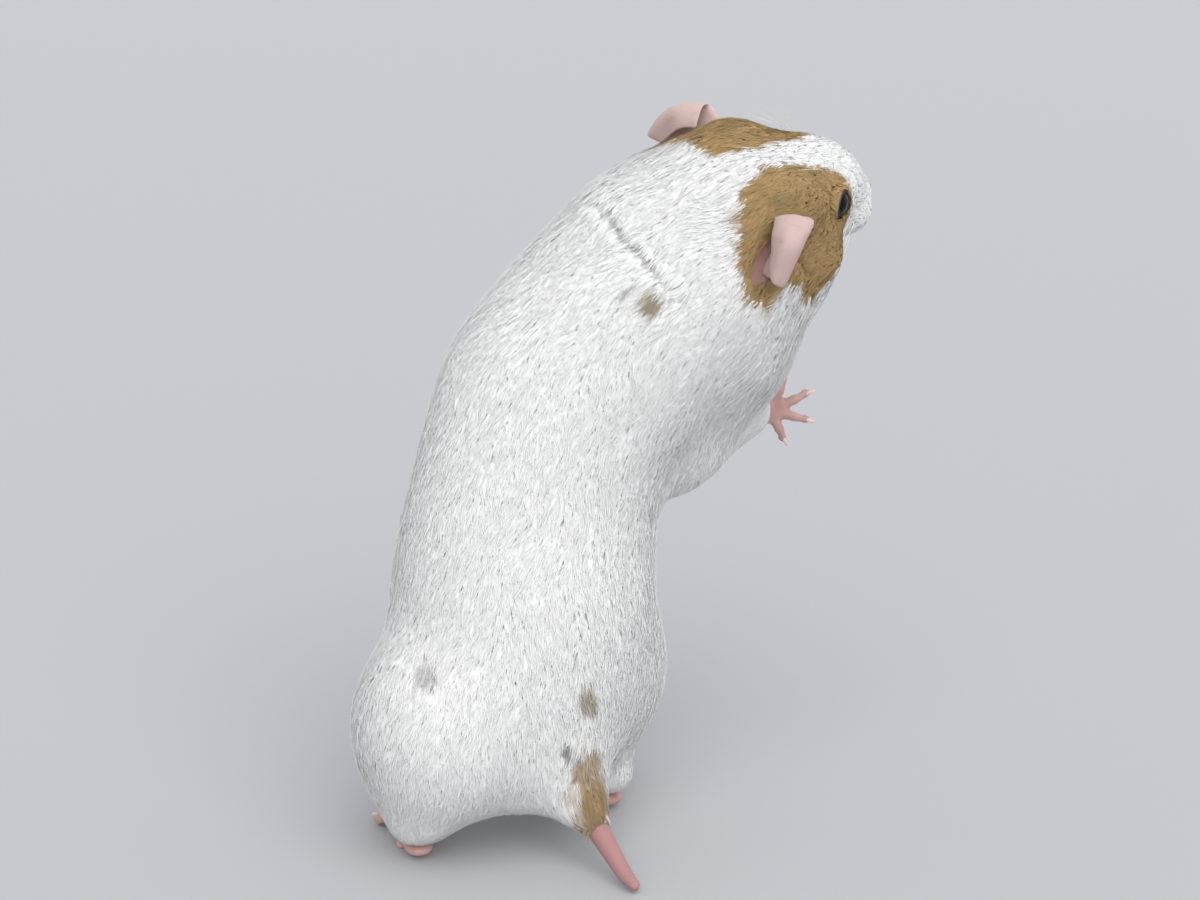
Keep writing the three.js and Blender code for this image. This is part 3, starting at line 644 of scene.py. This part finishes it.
def lid_share(q):
    """1 on the lids' rims, 0 away from the eyes."""
    share = np.zeros(len(q))
    for side in SIDES.values():
        local = (q - EYE_AT * np.array([1, side, 1])) @ eye_frame(side).T
        near = np.linalg.norm(local, axis=1) < EYE_RADIUS * 1.6
        share = np.maximum(share, ramp(from_opening(local), 1.15, 1.03) * near)
    return share


def bare_share(q):
    """1 where the skin of the head carries no coat."""
    return np.maximum.reduce([hollow_share(q), nose_share(q), lid_share(q)])


def skin_colour(points, normals, lie, depth):
    q = head_view(points)
    colour = mix(coat_colour(seen_at(points, normals, lie, depth)), PAW_PINK, 0.06)
    # The ear's hollow on the head: partly its own deeper pink, partly painted shade of the recess.
    colour = mix(colour, HOLLOW_PINK_AND_SHADE, hollow_share(q)[:, None])
    colour = mix(colour, NOSE_PINK, nose_share(q)[:, None])
    return mix(colour, LID_BROWN, lid_share(q)[:, None])


# ---- ears ----
# Lines from the right ear's front end to its rear end: the root, the wall, the fold, the flap and the free edge.
EAR_LINES = [
    [(-3, 11.5, 6.4), (-6.2, 13.5, 3.8), (-9.8, 16, -1.2)],
    [(-1.8, 15, 8.6), (-5.2, 18.4, 6), (-8.6, 20.6, -0.4)],
    [(-2.6, 17.4, 9.9), (-7.2, 20.9, 7.8), (-10.2, 22.8, 1)],
    [(-5, 15.6, 10.8), (-9.4, 19.4, 8.4), (-11.6, 21.9, 1)],
    [(-7, 12.2, 9.4), (-9.4, 16.2, 6.6), (-10.8, 19.6, 0)],
]
EAR_ALONG = 44
EAR_ACROSS = 52
EAR_THICK = (0.9, 0.42)  # at the root and at the free edge


def ear(side):
    """A pinna as a closed sheet, with each vertex's colour."""
    out = np.linspace(0, 1, EAR_ACROSS)
    lines = np.array([curve(line, 200) for line in EAR_LINES])
    sections = np.array([curve(lines[:, i], EAR_ACROSS) for i in range(200)])
    # The outline is rounded: each line out from the root is a little shorter than the one before.
    ends = 0.5 - 0.5 * np.sqrt(1 - (0.72 * out ** 2.2) ** 2)
    places = ends + (1 - 2 * ends) * np.linspace(0, 1, EAR_ALONG)[:, None]
    grid = np.stack([
        np.stack([np.interp(places[:, j] * 199, np.arange(200), sections[:, j, axis]) for axis in range(3)], axis=1)
        for j in range(EAR_ACROSS)
    ], axis=1)
    grid[..., 1] *= SIDES[side]
    grid = SKULL + grid @ HEAD_AXES
    along = np.linspace(0, 1, EAR_ALONG)[:, None]
    out = out[None]
    normal = unit(np.cross(np.gradient(grid, axis=0), np.gradient(grid, axis=1)))
    ripple = waves(grid.reshape(-1, 3), 4.5, 51).reshape(along.shape[0], -1) * 0.22 * out
    grid = grid + normal * ripple[..., None]
    rim = np.minimum(np.minimum(along, 1 - along) * 12, (1 - out) * 10)
    thick = mix(EAR_THICK[0], EAR_THICK[1], out) * np.sqrt(np.clip(rim, 0.05, 1)) / 2
    upper, lower = grid + normal * thick[..., None], grid - normal * thick[..., None]
    points = np.vstack([upper.reshape(-1, 3), lower.reshape(-1, 3)])
    index = np.arange(EAR_ALONG * EAR_ACROSS).reshape(EAR_ALONG, EAR_ACROSS)
    top = np.stack([index[:-1, :-1], index[1:, :-1], index[1:, 1:], index[:-1, 1:]], axis=-1).reshape(-1, 4)
    border = np.concatenate([index[0, :-1], index[:-1, -1], index[-1, :0:-1], index[:0:-1, 0]])
    ahead = np.roll(border, -1)
    size = index.size
    wall = np.stack([border, ahead, ahead + size, border + size], axis=1)
    faces = np.concatenate([top, top[:, ::-1] + size, wall])
    if SIDES[side] < 0:
        faces = faces[:, ::-1]
    inner = np.repeat([SIDES[side] < 0, SIDES[side] > 0], size)
    veins = np.abs(waves(points, 5, 52))
    colour = mix(EAR_PINK, DEEP_PINK, (0.05 + 0.2 * ramp(veins, 0.14, 0.02))[:, None])
    # Towards the root and on its inner face the ear is mixed towards the hollow's deeper pink: partly the skin's own
    # colour, partly painted shade in the hollow.
    root = np.tile(np.broadcast_to(ramp(out, 0.4, 0.0), index.shape).ravel(), 2)
    colour = mix(colour, HOLLOW_PINK_AND_SHADE, (0.5 * root + 0.45 * inner)[:, None] * 0.8)
    return points, triangles(faces), colour


def triangles(faces):
    return faces if faces.shape[1] == 3 else np.concatenate([faces[:, [0, 1, 2]], faces[:, [0, 2, 3]]])


# ---- paws, feet and tail ----
PAW_CELL = 0.27
CLAW_LENGTH = 1.9
PAWS = {
    "forepaw_right": dict(at=on_body(43.57, 30.27, 72.0), forward=(1, 0.25, 0.05), up=(0, -1, 0)),
    "forepaw_left": dict(at=on_body(3.9, 34.4, 93.5), forward=(0.35, 0.3, 1), up=(0, -1, 0)),
    "hindfoot_left": dict(at=on_body(-25.55, -9.92, 1.7), forward=(-0.3, 0.95, 0), up=(0, 0, 1)),
    "hindfoot_right": dict(at=on_body(10.48, 10.92, 1.7), forward=(-0.12, 0.99, 0), up=(0, 0, 1)),
}
FORE_SHAPE = dict(palm=(2.6, 3.0, 1.5), turns=(-62, -18, 20, 66), lengths=(9, 10.4, 10.4, 8.8), thick=0.95, sleeve=7)
HIND_SHAPE = dict(
    palm=(7.5, 3.5, 1.75), turns=(-38, -17, 0, 17, 38), lengths=(9.6, 12.2, 12.8, 12.2, 9.6), thick=1.2, sleeve=4
)


def paw(name):
    """A paw as a closed part, with its colours and the claws that it carries."""
    shape = FORE_SHAPE if name.startswith("fore") else HIND_SHAPE
    place = PAWS[name]
    ahead = unit(np.array(place["forward"], float))
    across = unit(np.cross(ahead, np.array(place["up"], float)))
    axes = np.array([ahead, across, np.cross(across, ahead)])

    def at(long, wide, high):
        return place["at"] + np.array([long, wide, high]) @ axes

    long, wide, deep = shape["palm"]
    spine = [at(-long - shape["sleeve"] * 0.35, 0, 0.3), at(0, 0, 0.1), at(long * 0.7, 0, 0)]
    parts = [tube(spine, [wide * 0.75, wide * 0.95, wide * 0.85], 16, 10, deep / wide, axes[2])]
    claws = []
    for degrees, tip in zip(shape["turns"], shape["lengths"]):
        turn = math.radians(degrees)

        def reach(r, lift):
            return at(r * math.cos(turn), r * math.sin(turn), lift)

        toe = tip - CLAW_LENGTH
        thick = shape["thick"]
        line = [reach(toe * 0.25, 0), reach(toe * 0.6, 0.55), reach(toe * 0.82, 0.2), reach(toe * 0.97, -0.25)]
        parts.append(tube(line, [thick * 1.1, thick * 1.0, thick * 0.82, thick * 0.86], 12, 12))
        parts.append(ball(reach(toe * 0.62, 0.45), (thick * 1.12,) * 3, sides=12))
        parts.append(ball(reach(toe * 0.93, -0.42), (thick * 0.95,) * 3, sides=12))
        parts.append(ball(reach(toe * 0.42, -0.55), (thick * 1.05,) * 3, sides=12))
        claw = [reach(toe * 0.95, 0.3), reach(toe + 0.9, 0.42), reach(tip - 0.25, -0.25)]
        claws.append(tube(claw, [0.36, 0.3, 0.07], 10, 10))
    for wide_at, long_at in ((-0.55, -0.5), (0.55, -0.5), (0, 0.35)):
        parts.append(ball(at(long * long_at, wide * wide_at, -deep * 0.7), (wide * 0.42, wide * 0.4, deep * 0.55), axes))
    points, faces = fused(parts, PAW_CELL)
    points = spread(points, edges_of(faces), 5)
    points[:, 2] = np.maximum(points[:, 2], 0.0)
    colour = mix(PAW_PINK, DEEP_PINK, (0.25 + 0.2 * waves(points, 3, 61))[:, None])
    return points, triangles(faces), colour, claws


TAIL_LINE = [(6, -18.5, 11), (9, -21.5, 8.2), (11.8, -25.6, 5.2), (14.3, -29.2, 2.5), (16.0, -31.6, 1.5)]
TAIL_RINGS = 0.55  # from one fold of the tail's skin to the next
TAIL_STEPS = 90


def tail():
    line = [on_body(*p) for p in TAIL_LINE]
    points, faces = tube(line, [2.4, 2.15, 1.75, 1.4, 1.0], 20, TAIL_STEPS)
    base = on_body(*TAIL_LINE[0])
    run = np.linalg.norm(points - base, axis=1)
    middle = curve(line, 200)
    nearest = np.argmin(((points[:, None] - middle[None]) ** 2).sum(axis=2), axis=1)
    outward = unit(points - middle[nearest])
    points = points + outward * (0.05 * np.sin(run * 2 * math.pi / TAIL_RINGS))[:, None]
    colour = mix(TAIL_PINK, DEEP_PINK, (0.3 + 0.2 * np.sin(run * 2 * math.pi / TAIL_RINGS))[:, None])
    points[:, 2] = np.maximum(points[:, 2], 0.0)
    return points, faces, colour


# ---- the coat's lie ----
EYE_PARTING = 4.5  # how far from the eyes the coat turns away from them


def lie_of(points, normals, edges):
    """The way the coat lies at each of the skin's points."""
    flow = np.zeros_like(points)
    for name, girth, line in CHAINS:
        for a, b in zip(line[:-1], line[1:]):
            away = rod(a, b, 0)(points) / girth
            flow += unit(b - a) * np.exp(-1.6 * away ** 2)[:, None]
    q = head_view(points)
    for side in SIDES.values():
        from_eye = (q - EYE_AT * np.array([1, side, 1])) @ HEAD_AXES
        near = np.exp(-(np.linalg.norm(from_eye, axis=1) / EYE_PARTING) ** 2)
        flow += unit(from_eye) * near[:, None] * 0.9
    swirl = np.stack([waves(points, 16, 71 + i) for i in range(3)], axis=1)
    flow = unit(flow) + swirl * 0.22
    flow -= normals * (flow * normals).sum(axis=1, keepdims=True)
    flow = spread(unit(flow), edges, 12)
    return unit(flow - normals * (flow * normals).sum(axis=1, keepdims=True))


# ---- the unwrap of the skin that the coat's bake map follows ----
CHART_WIDTHS = {"head": 0.24, "trunk": 0.34, "foreleg_right": 0.09, "foreleg_left": 0.08,
                "hindleg_left": 0.1, "hindleg_right": 0.1, "tail": 0.03}
PATCH = 0.003  # a tuft's size on the map


def unwrapped(points):
    """Each place on the skin as round and along its own limb's axis, with the limbs' charts side by side."""
    best = np.full(len(points), np.inf)
    flat = np.zeros((len(points), 2))
    start = 0.0
    for name, girth, line in CHAINS:
        width = CHART_WIDTHS[name]
        lengths = [np.linalg.norm(b - a) for a, b in zip(line[:-1], line[1:])]
        done = 0.0
        for length, a, b in zip(lengths, line[:-1], line[1:]):
            along = unit(b - a)
            t = np.clip((points - a) @ along / length, 0, 1)
            off = points - a - t[:, None] * (b - a)
            away = np.linalg.norm(off, axis=1) / girth
            side = unit(np.cross(along, np.array([0.3, 0.2, 0.93]) if abs(along[2]) < 0.8 else np.array([0, 1, 0])))
            angle = np.arctan2(off @ side, off @ np.cross(along, side)) / (2 * math.pi) + 0.5
            place = np.stack([start + width * (0.02 + 0.96 * angle), 0.01 + 0.97 * (done + t * length) / sum(lengths)], 1)
            nearer = away < best
            best = np.where(nearer, away, best)
            flat = np.where(nearer[:, None], place, flat)
            done += length
        start += width
    return flat


# ---- tufts ----
SECTION = np.array([[0.5, 0.0], [-0.5, 0.0], [0.0, 0.16]])  # a ring's corners: across and up, in widths
MOST_FACES = 195000  # in one piece
# Wool is the broad soft layer beneath, fluff the many fine hairs on it and locks the longer ones among them. cover:
# layers over any place; rings: where along a tuft its rings of three points lie; long and wide: at the thinnest coat
# and what each millimetre of the coat's depth adds; rise: how far the tips come up through the coat's depth, and how
# that varies; from_depth: the coat's depths between which this kind sets in.
KINDS = {
    "wool": dict(cover=6.8, rings=(0.4,), long=(0.9, 2.8), wide=(0.35, 0.45), rise=(0.68, 0.05), pull=0.1,
                 from_depth=(-1, 0)),
    "fluff": dict(cover=3.2, rings=(0.4,), long=(0.75, 3.4), wide=(0.065, 0.075), rise=(0.87, 0.05), pull=0.15,
                  from_depth=(-1, 0)),
    "locks": dict(cover=0.5, rings=(0.25, 0.6), long=(0.9, 4.5), wide=(0.08, 0.08), rise=(0.95, 0.05), pull=0.3,
                  from_depth=(0.35, 0.9)),
}


def sown(points, faces, wanted, draw):
    """Random places on a net, as each one's triangle and its shares of the corners."""
    corner = points[faces]
    area = np.linalg.norm(np.cross(corner[:, 1] - corner[:, 0], corner[:, 2] - corner[:, 0]), axis=1) / 2
    total = np.cumsum(area * wanted[faces].mean(axis=1))
    count = int(total[-1])
    face = np.searchsorted(total, (np.arange(count) + draw.random(count)) * total[-1] / count)
    shares = draw.dirichlet((1, 1, 1), count)
    return np.minimum(face, len(faces) - 1), shares


def tree_of(places):
    """A tree that finds the nearest of some places."""
    tree = KDTree(len(places))
    for i, place in enumerate(places):
        tree.insert(place, i)
    tree.balance()
    return tree


def laid_down(root, up, way, length, rise, points, normals, tree):
    """The skin's direction under every tip, and the bend that lays the tip back over a curved skin."""
    tip = root + way * length[:, None]
    nearest = np.array([tree.find(place)[1] for place in tip])
    over = unit(normals[nearest])
    over = unit(np.where((over * up).sum(axis=1)[:, None] > 0.2, over, up))
    height = np.clip(((tip - points[nearest]) * over).sum(axis=1), -0.2 * length, 0.6 * length)
    return over, (over - up) * rise[:, None] - over * height[:, None]


def grown_coat(kind, points, faces, normals, lie, depth, kept, tree, draw):
    """Every tuft's root, frame, sizes and bend."""
    made = KINDS[kind]
    long = made["long"][0] + made["long"][1] * depth
    wide = made["wide"][0] + made["wide"][1] * depth
    here = kept * made["cover"] * ramp(depth, *made["from_depth"])
    face, shares = sown(points, faces, here / (long * wide), draw)

    def at_root(values):
        return (values[faces[face]] * shares.reshape(shares.shape + (1,) * (values.ndim - 1))).sum(axis=1)

    root, up, way, deep, long, wide = (at_root(v) for v in (points, normals, lie, depth, long, wide))
    count = len(root)
    up = unit(up)
    turn = draw.normal(0, 0.17, count) + 0.22 * waves(root, 4.5, 81) + 0.14 * waves(root, 1.8, 82)
    side = unit(np.cross(up, way))
    way = unit(way * np.cos(turn)[:, None] + side * np.sin(turn)[:, None])
    long = long * draw.uniform(0.75, 1.15, count)
    rise = deep * np.clip(draw.normal(*made["rise"], count), 0.3, 1.12)
    width = wide * draw.uniform(0.7, 1.3, count)
    over, bend = laid_down(root, up, way, long, rise, points, normals, tree)
    tufts = dict(root=root, up=up, way=way, depth=deep, length=long, rise=rise, width=width, over=over, bend=bend)
    # A tuft that would lie over an eye, the nose or an ear's hollow is left out.
    clear = np.ones(count, bool)
    for share in (0.5, 1.0):
        clear &= bare_share(head_view(root + way * (long * share)[:, None] + up * rise[:, None])) < 0.5
    return {key: values[clear] for key, values in tufts.items()}


def clump_middles(root, draw):
    """A tree of the places that the tips around them lean to, and those places."""
    middles = root[draw.choice(len(root), len(root) // 12, replace=False)]
    return tree_of(middles), middles


def leaning(tufts, tree, middles, most, draw):
    """How far each tip is pulled towards the middle of its clump."""
    nearest = np.array([tree.find(place)[1] for place in tufts["root"]])
    pull = middles[nearest] - tufts["root"]
    strength = draw.uniform(0.3, 1.0, len(middles))[nearest] * most
    return pull * (strength * ramp(np.linalg.norm(pull, axis=1), tufts["length"], 0))[:, None]


def tuft_faces(rings):
    """The triangles of one tuft, a closed spindle: its root, its rings of three points and its tip."""
    tip = 3 * rings + 1
    faces = []
    for a, b in ((0, 1), (1, 2), (2, 0)):  # the underside and the two upper sides
        faces += [(0, b + 1, a + 1), (tip - 3 + a, tip - 3 + b, tip)]
        for low in range(1, tip - 3, 3):
            faces += [(low + a, low + b, low + b + 3), (low + a, low + b + 3, low + a + 3)]
    return np.array(faces)


def tuft_mesh(name, kind, tufts, pull, pick):
    """A mesh of the picked tufts, each with soft shading and its own patch of the bake map."""
    root, up, way, over, bend = (tufts[key][pick] for key in ("root", "up", "way", "over", "bend"))
    length, rise, width, depth = (tufts[key][pick][:, None] for key in ("length", "rise", "width", "depth"))
    bend = bend + pull[pick]
    side = np.cross(way, up)
    levels = KINDS[kind]["rings"]
    sunk = 0.04 + 0.06 * depth
    places = [root - up * sunk]
    for t in levels:
        middle = root + way * length * t + up * (rise + sunk) * (1 - (1 - t) ** 3) - up * sunk + bend * t ** 2
        places += [middle + side * (width * across) + up * (width * high) for across, high in SECTION]
    points = np.stack(places + [root + way * length + up * rise + bend], axis=1)
    shape = tuft_faces(len(levels))
    faces = (shape[None] + points.shape[1] * np.arange(len(root))[:, None, None]).reshape(-1, 3)
    mesh = mesh_of(name, points.reshape(-1, 3), faces)
    lean = np.array([0.0, *[*SECTION[:, 0]] * len(levels), 0.0]) * 0.2
    along = np.array([0.0, *np.repeat(levels, 3), 1.0])[None, :, None]
    soft = unit(mix(up[:, None], over[:, None], along) + side[:, None] * lean[None, :, None])[:, shape]
    corner = points[:, shape]
    flat = unit(np.cross(corner[:, :, 1] - corner[:, :, 0], corner[:, :, 2] - corner[:, :, 0]))
    # Only faces that look outwards take the skin's direction, so that a raised tip's underside isn't black.
    facing = ramp((flat * (up + over)[:, None]).sum(axis=2), 0.0, 0.6)[:, :, None, None]
    normals = unit(mix(flat[:, :, None], soft, facing))
    layer = mesh.attributes.new("custom_normal", "FLOAT_VECTOR", "CORNER")
    layer.data.foreach_set("vector", normals.astype(np.float32).ravel())
    corner = np.array([(0, 0)] + [(across, t) for t in levels for across in SECTION[:, 0]] + [(0, 1)]) * PATCH
    spots = (unwrapped(root)[:, None] + corner[None]).reshape(-1, 2)
    mesh.uv_layers.new(name="OFBake").data.foreach_set("uv", spots[faces.ravel()].astype(np.float32).ravel())
    return mesh


# ---- materials ----
def surface(name, roughness, **sockets):
    """A material whose colour is the mesh's own tint."""
    made = bpy.data.materials.new(name)
    made.use_nodes = True
    nodes, links = made.node_tree.nodes, made.node_tree.links
    shader = nodes["Principled BSDF"]
    shader.inputs["Roughness"].default_value = roughness
    for socket, value in sockets.items():
        shader.inputs[socket.replace("_", " ")].default_value = value
    tint = nodes.new("ShaderNodeAttribute")
    tint.attribute_name = "tint"
    links.new(tint.outputs["Color"], shader.inputs["Base Color"])
    return made, nodes, links, shader, tint


def noise_node(nodes, links, scale, detail=3.0):
    """Noise laid out in the object's own space; scale is in swells per millimetre."""
    place = nodes.new("ShaderNodeTexCoord")
    noise = nodes.new("ShaderNodeTexNoise")
    noise.inputs["Scale"].default_value = scale / MM
    noise.inputs["Detail"].default_value = detail
    links.new(place.outputs["Object"], noise.inputs["Vector"])
    return noise


def bumped(nodes, links, shader, height, strength, distance):
    bump = nodes.new("ShaderNodeBump")
    bump.inputs["Strength"].default_value = strength
    bump.inputs["Distance"].default_value = distance * MM
    links.new(height, bump.inputs["Height"])
    links.new(bump.outputs["Normal"], shader.inputs["Normal"])


def coat_material(name):
    made, nodes, links, shader, tint = surface(name, 0.9, Specular_IOR_Level=0.05)
    noise = noise_node(nodes, links, 0.5)
    grade = nodes.new("ShaderNodeMapRange")
    grade.inputs["To Min"].default_value = 0.95
    grade.inputs["To Max"].default_value = 1.0
    grade.inputs["From Min"].default_value = 0.3
    grade.inputs["From Max"].default_value = 0.6
    links.new(noise.outputs["Fac"], grade.inputs["Value"])
    scaled = nodes.new("ShaderNodeVectorMath")
    scaled.operation = "SCALE"
    links.new(tint.outputs["Color"], scaled.inputs[0])
    links.new(grade.outputs["Result"], scaled.inputs["Scale"])
    links.new(scaled.outputs["Vector"], shader.inputs["Base Color"])
    return made


def skin_material():
    made, nodes, links, shader, tint = surface("skin", 0.55, Specular_IOR_Level=0.4, Subsurface_Weight=0.25)
    shader.inputs["Subsurface Radius"].default_value = (1.0, 0.55, 0.42)
    shader.inputs["Subsurface Scale"].default_value = 1.2 * MM
    noise = noise_node(nodes, links, 2.2, 6.0)
    bumped(nodes, links, shader, noise.outputs["Fac"], 0.35, 0.12)
    return made


def eye_material():
    made, nodes, links, shader, tint = surface("eye", 0.05, Specular_IOR_Level=0.15)
    return made


def claw_material():
    made, nodes, links, shader, tint = surface("claw", 0.35, Subsurface_Weight=0.4)
    shader.inputs["Subsurface Scale"].default_value = 0.3 * MM
    noise = noise_node(nodes, links, 3.0)
    bumped(nodes, links, shader, noise.outputs["Fac"], 0.2, 0.05)
    return made


def whisker_material():
    return surface("whisker", 0.4, Specular_IOR_Level=0.6)[0]


# ---- eyes and whiskers ----
EYE_BLACK = shade("0d0908")
CLAW_HORN = shade("e7cfc2")
WHISKER_WHITE = shade("f4f2ee")
WHISKERS_A_SIDE = 16


def whiskers(draw):
    parts = []
    for side in SIDES.values():
        for i in range(WHISKERS_A_SIDE):
            row, column = divmod(i, 4)
            start = np.array([19.5 - 1.5 * column, 5.2 + 0.7 * column, -2.2 - 1.6 * row])
            back = draw.uniform(0.75, 1.0)
            out = draw.uniform(0.35, 0.6)
            drop = draw.uniform(-0.35, 0.1) - 0.08 * row
            length = draw.uniform(9, 15) + 1.2 * column
            way = unit(np.array([-back, out, drop]))
            line = [start, start + way * length * 0.5 + np.array([0, 1.2, 0.8]), start + way * length]
            line = [on_head(f, side * r, u) for f, r, u in line]
            parts.append(tube(line, [0.07, 0.05, 0.015], 5, 14))
        for i in range(4):
            start = np.array([9 - 1.2 * i, 6.5, 9.5 + 0.5 * i])
            way = unit(np.array([-0.4 - 0.2 * i, 0.35, 0.8 - 0.1 * i]))
            line = [start, start + way * 3.5, start + way * 6 + np.array([-1.2, 0, 0])]
            line = [on_head(f, side * r, u) for f, r, u in line]
            parts.append(tube(line, [0.06, 0.045, 0.015], 5, 10))
    return joined(parts)


# ---- building the animal ----
draw = np.random.default_rng(11)
body_points, body_faces = body_skin()
body_normals = vertex_normals(body_points, body_faces)
body_edges = edges_of(body_faces)
lie = lie_of(body_points, body_normals, body_edges)
depth = coat_depth(body_points)
parts = [(body_points, body_faces)]
colours = [skin_colour(body_points, body_normals, lie, depth)]
claw_parts = []
for side in SIDES.values():
    parts.append(lid_rim(side))
    colours.append(np.repeat(LID_BROWN[None], len(parts[-1][0]), 0))
for name in PAWS:
    points, faces, colour, claws = paw(name)
    parts.append((points, faces))
    colours.append(colour)
    claw_parts += claws
for points, faces, colour in [ear(side) for side in SIDES] + [tail()]:
    parts.append((points, faces))
    colours.append(colour)

skin_mesh = mesh_of("skin", *joined(parts))
paint(skin_mesh, np.concatenate(colours))
skin = mesh_piece("skin", skin_mesh, skin_material())
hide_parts(*[node for node in frame["nodes"] if not node.startswith("eye_")])

for side, at in eyes.items():
    eye_mesh = mesh_of("eye_" + side, *ball(at, (EYE_RADIUS,) * 3, sides=48))
    paint(eye_mesh, np.repeat(EYE_BLACK[None], len(eye_mesh.vertices), 0))
    eye = mesh_piece("eyeball_" + side, eye_mesh, eye_material())
    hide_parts("eye_" + side)

claw_mesh = mesh_of("claws", *joined(claw_parts))
paint(claw_mesh, np.repeat(CLAW_HORN[None], len(claw_mesh.vertices), 0))
mesh_piece("claws", claw_mesh, claw_material())

whisker_mesh = mesh_of("whiskers", *whiskers(draw))
paint(whisker_mesh, np.repeat(WHISKER_WHITE[None], len(whisker_mesh.vertices), 0))
mesh_piece("whiskers", whisker_mesh, whisker_material())

kept = (bare_share(head_view(body_points)) < 0.5).astype(float)
skin_tree = tree_of(body_points)
coats = {"white": coat_material("coat_white"), "tan": coat_material("coat_tan")}
tree = None
counts = {}
for kind in KINDS:
    tufts = grown_coat(kind, body_points, body_faces, body_normals, lie, depth, kept, skin_tree, draw)
    if tree is None:
        tree, middles = clump_middles(tufts["root"], draw)
    pull = leaning(tufts, tree, middles, KINDS[kind]["pull"], draw)
    seen = seen_at(tufts["root"], tufts["up"], tufts["way"], tufts["depth"])
    tint = coat_colour(seen) * draw.uniform(0.97, 1.01, len(pull))[:, None]
    is_tan = tan_share(seen) > 0.5
    each = len(tuft_faces(len(KINDS[kind]["rings"])))
    corners = 3 * len(KINDS[kind]["rings"]) + 2
    for colour, group in (("white", np.nonzero(~is_tan)[0]), ("tan", np.nonzero(is_tan)[0])):
        for number, pick in enumerate(np.array_split(group, math.ceil(len(group) * each / MOST_FACES))):
            name = f"coat_{colour}_{kind}_{number + 1}"
            mesh = tuft_mesh(name, kind, tufts, pull, pick)
            paint(mesh, np.repeat(tint[pick], corners, axis=0))
            mesh_piece(name, mesh, coats[colour])
            counts[name] = len(mesh.polygons)
with open("/tmp/counts.txt", "w") as f:
    f.write(f"coat {sum(counts.values())} {counts} skin {len(skin_mesh.polygons)}")

# ---- floor, camera and light ----
FLOOR_SIZE = 60.0
CAMERA_AT = Vector((-0.00265, -0.3209, 0.1573))
CAMERA_TILT = math.radians(75)
LENS = 54.45


def plain_floor():
    mesh = bpy.data.meshes.new("floor")
    half = FLOOR_SIZE / 2
    mesh.from_pydata([(-half, -half, 0), (half, -half, 0), (half, half, 0), (-half, half, 0)], [], [(0, 1, 2, 3)])
    floor = bpy.data.objects.new("floor", mesh)
    bpy.context.scene.collection.objects.link(floor)
    made = bpy.data.materials.new("floor")
    made.use_nodes = True
    shader = made.node_tree.nodes["Principled BSDF"]
    shader.inputs["Base Color"].default_value = (*shade("b4b5b9"), 1)
    shader.inputs["Roughness"].default_value = 0.9
    mesh.materials.append(made)


def soft_sun(name, way, strength, spread_angle, colour=(1, 1, 1)):
    """Even light from one side over the animal and the whole floor. way points from the animal to the light."""
    data = bpy.data.lights.new(name, "SUN")
    data.energy = strength
    data.angle = math.radians(spread_angle)
    data.color = colour
    lamp = bpy.data.objects.new(name, data)
    lamp.rotation_euler = Vector(way).to_track_quat("Z", "Y").to_euler()
    bpy.context.scene.collection.objects.link(lamp)


plain_floor()
soft_sun("key", (0.2, -0.75, 0.85), 1.95, 70, (1.0, 0.985, 0.96))
soft_sun("fill", (0.9, 0.6, 0.5), 0.2, 80, (0.95, 0.97, 1.0))

sky = bpy.data.worlds.new("sky")
sky.use_nodes = True
sky.node_tree.nodes["Background"].inputs["Color"].default_value = (0.95, 0.97, 1.0, 1)
sky.node_tree.nodes["Background"].inputs["Strength"].default_value = 0.79
bpy.context.scene.world = sky
bpy.context.scene.view_settings.view_transform = "Standard"

lens = bpy.data.cameras.new("camera")
lens.lens = LENS
lens.sensor_width = 36
lens.clip_start = 0.01
camera = bpy.data.objects.new("camera", lens)
camera.location = CAMERA_AT
camera.rotation_euler = (CAMERA_TILT, 0, 0)
bpy.context.scene.collection.objects.link(camera)
bpy.context.scene.camera = camera
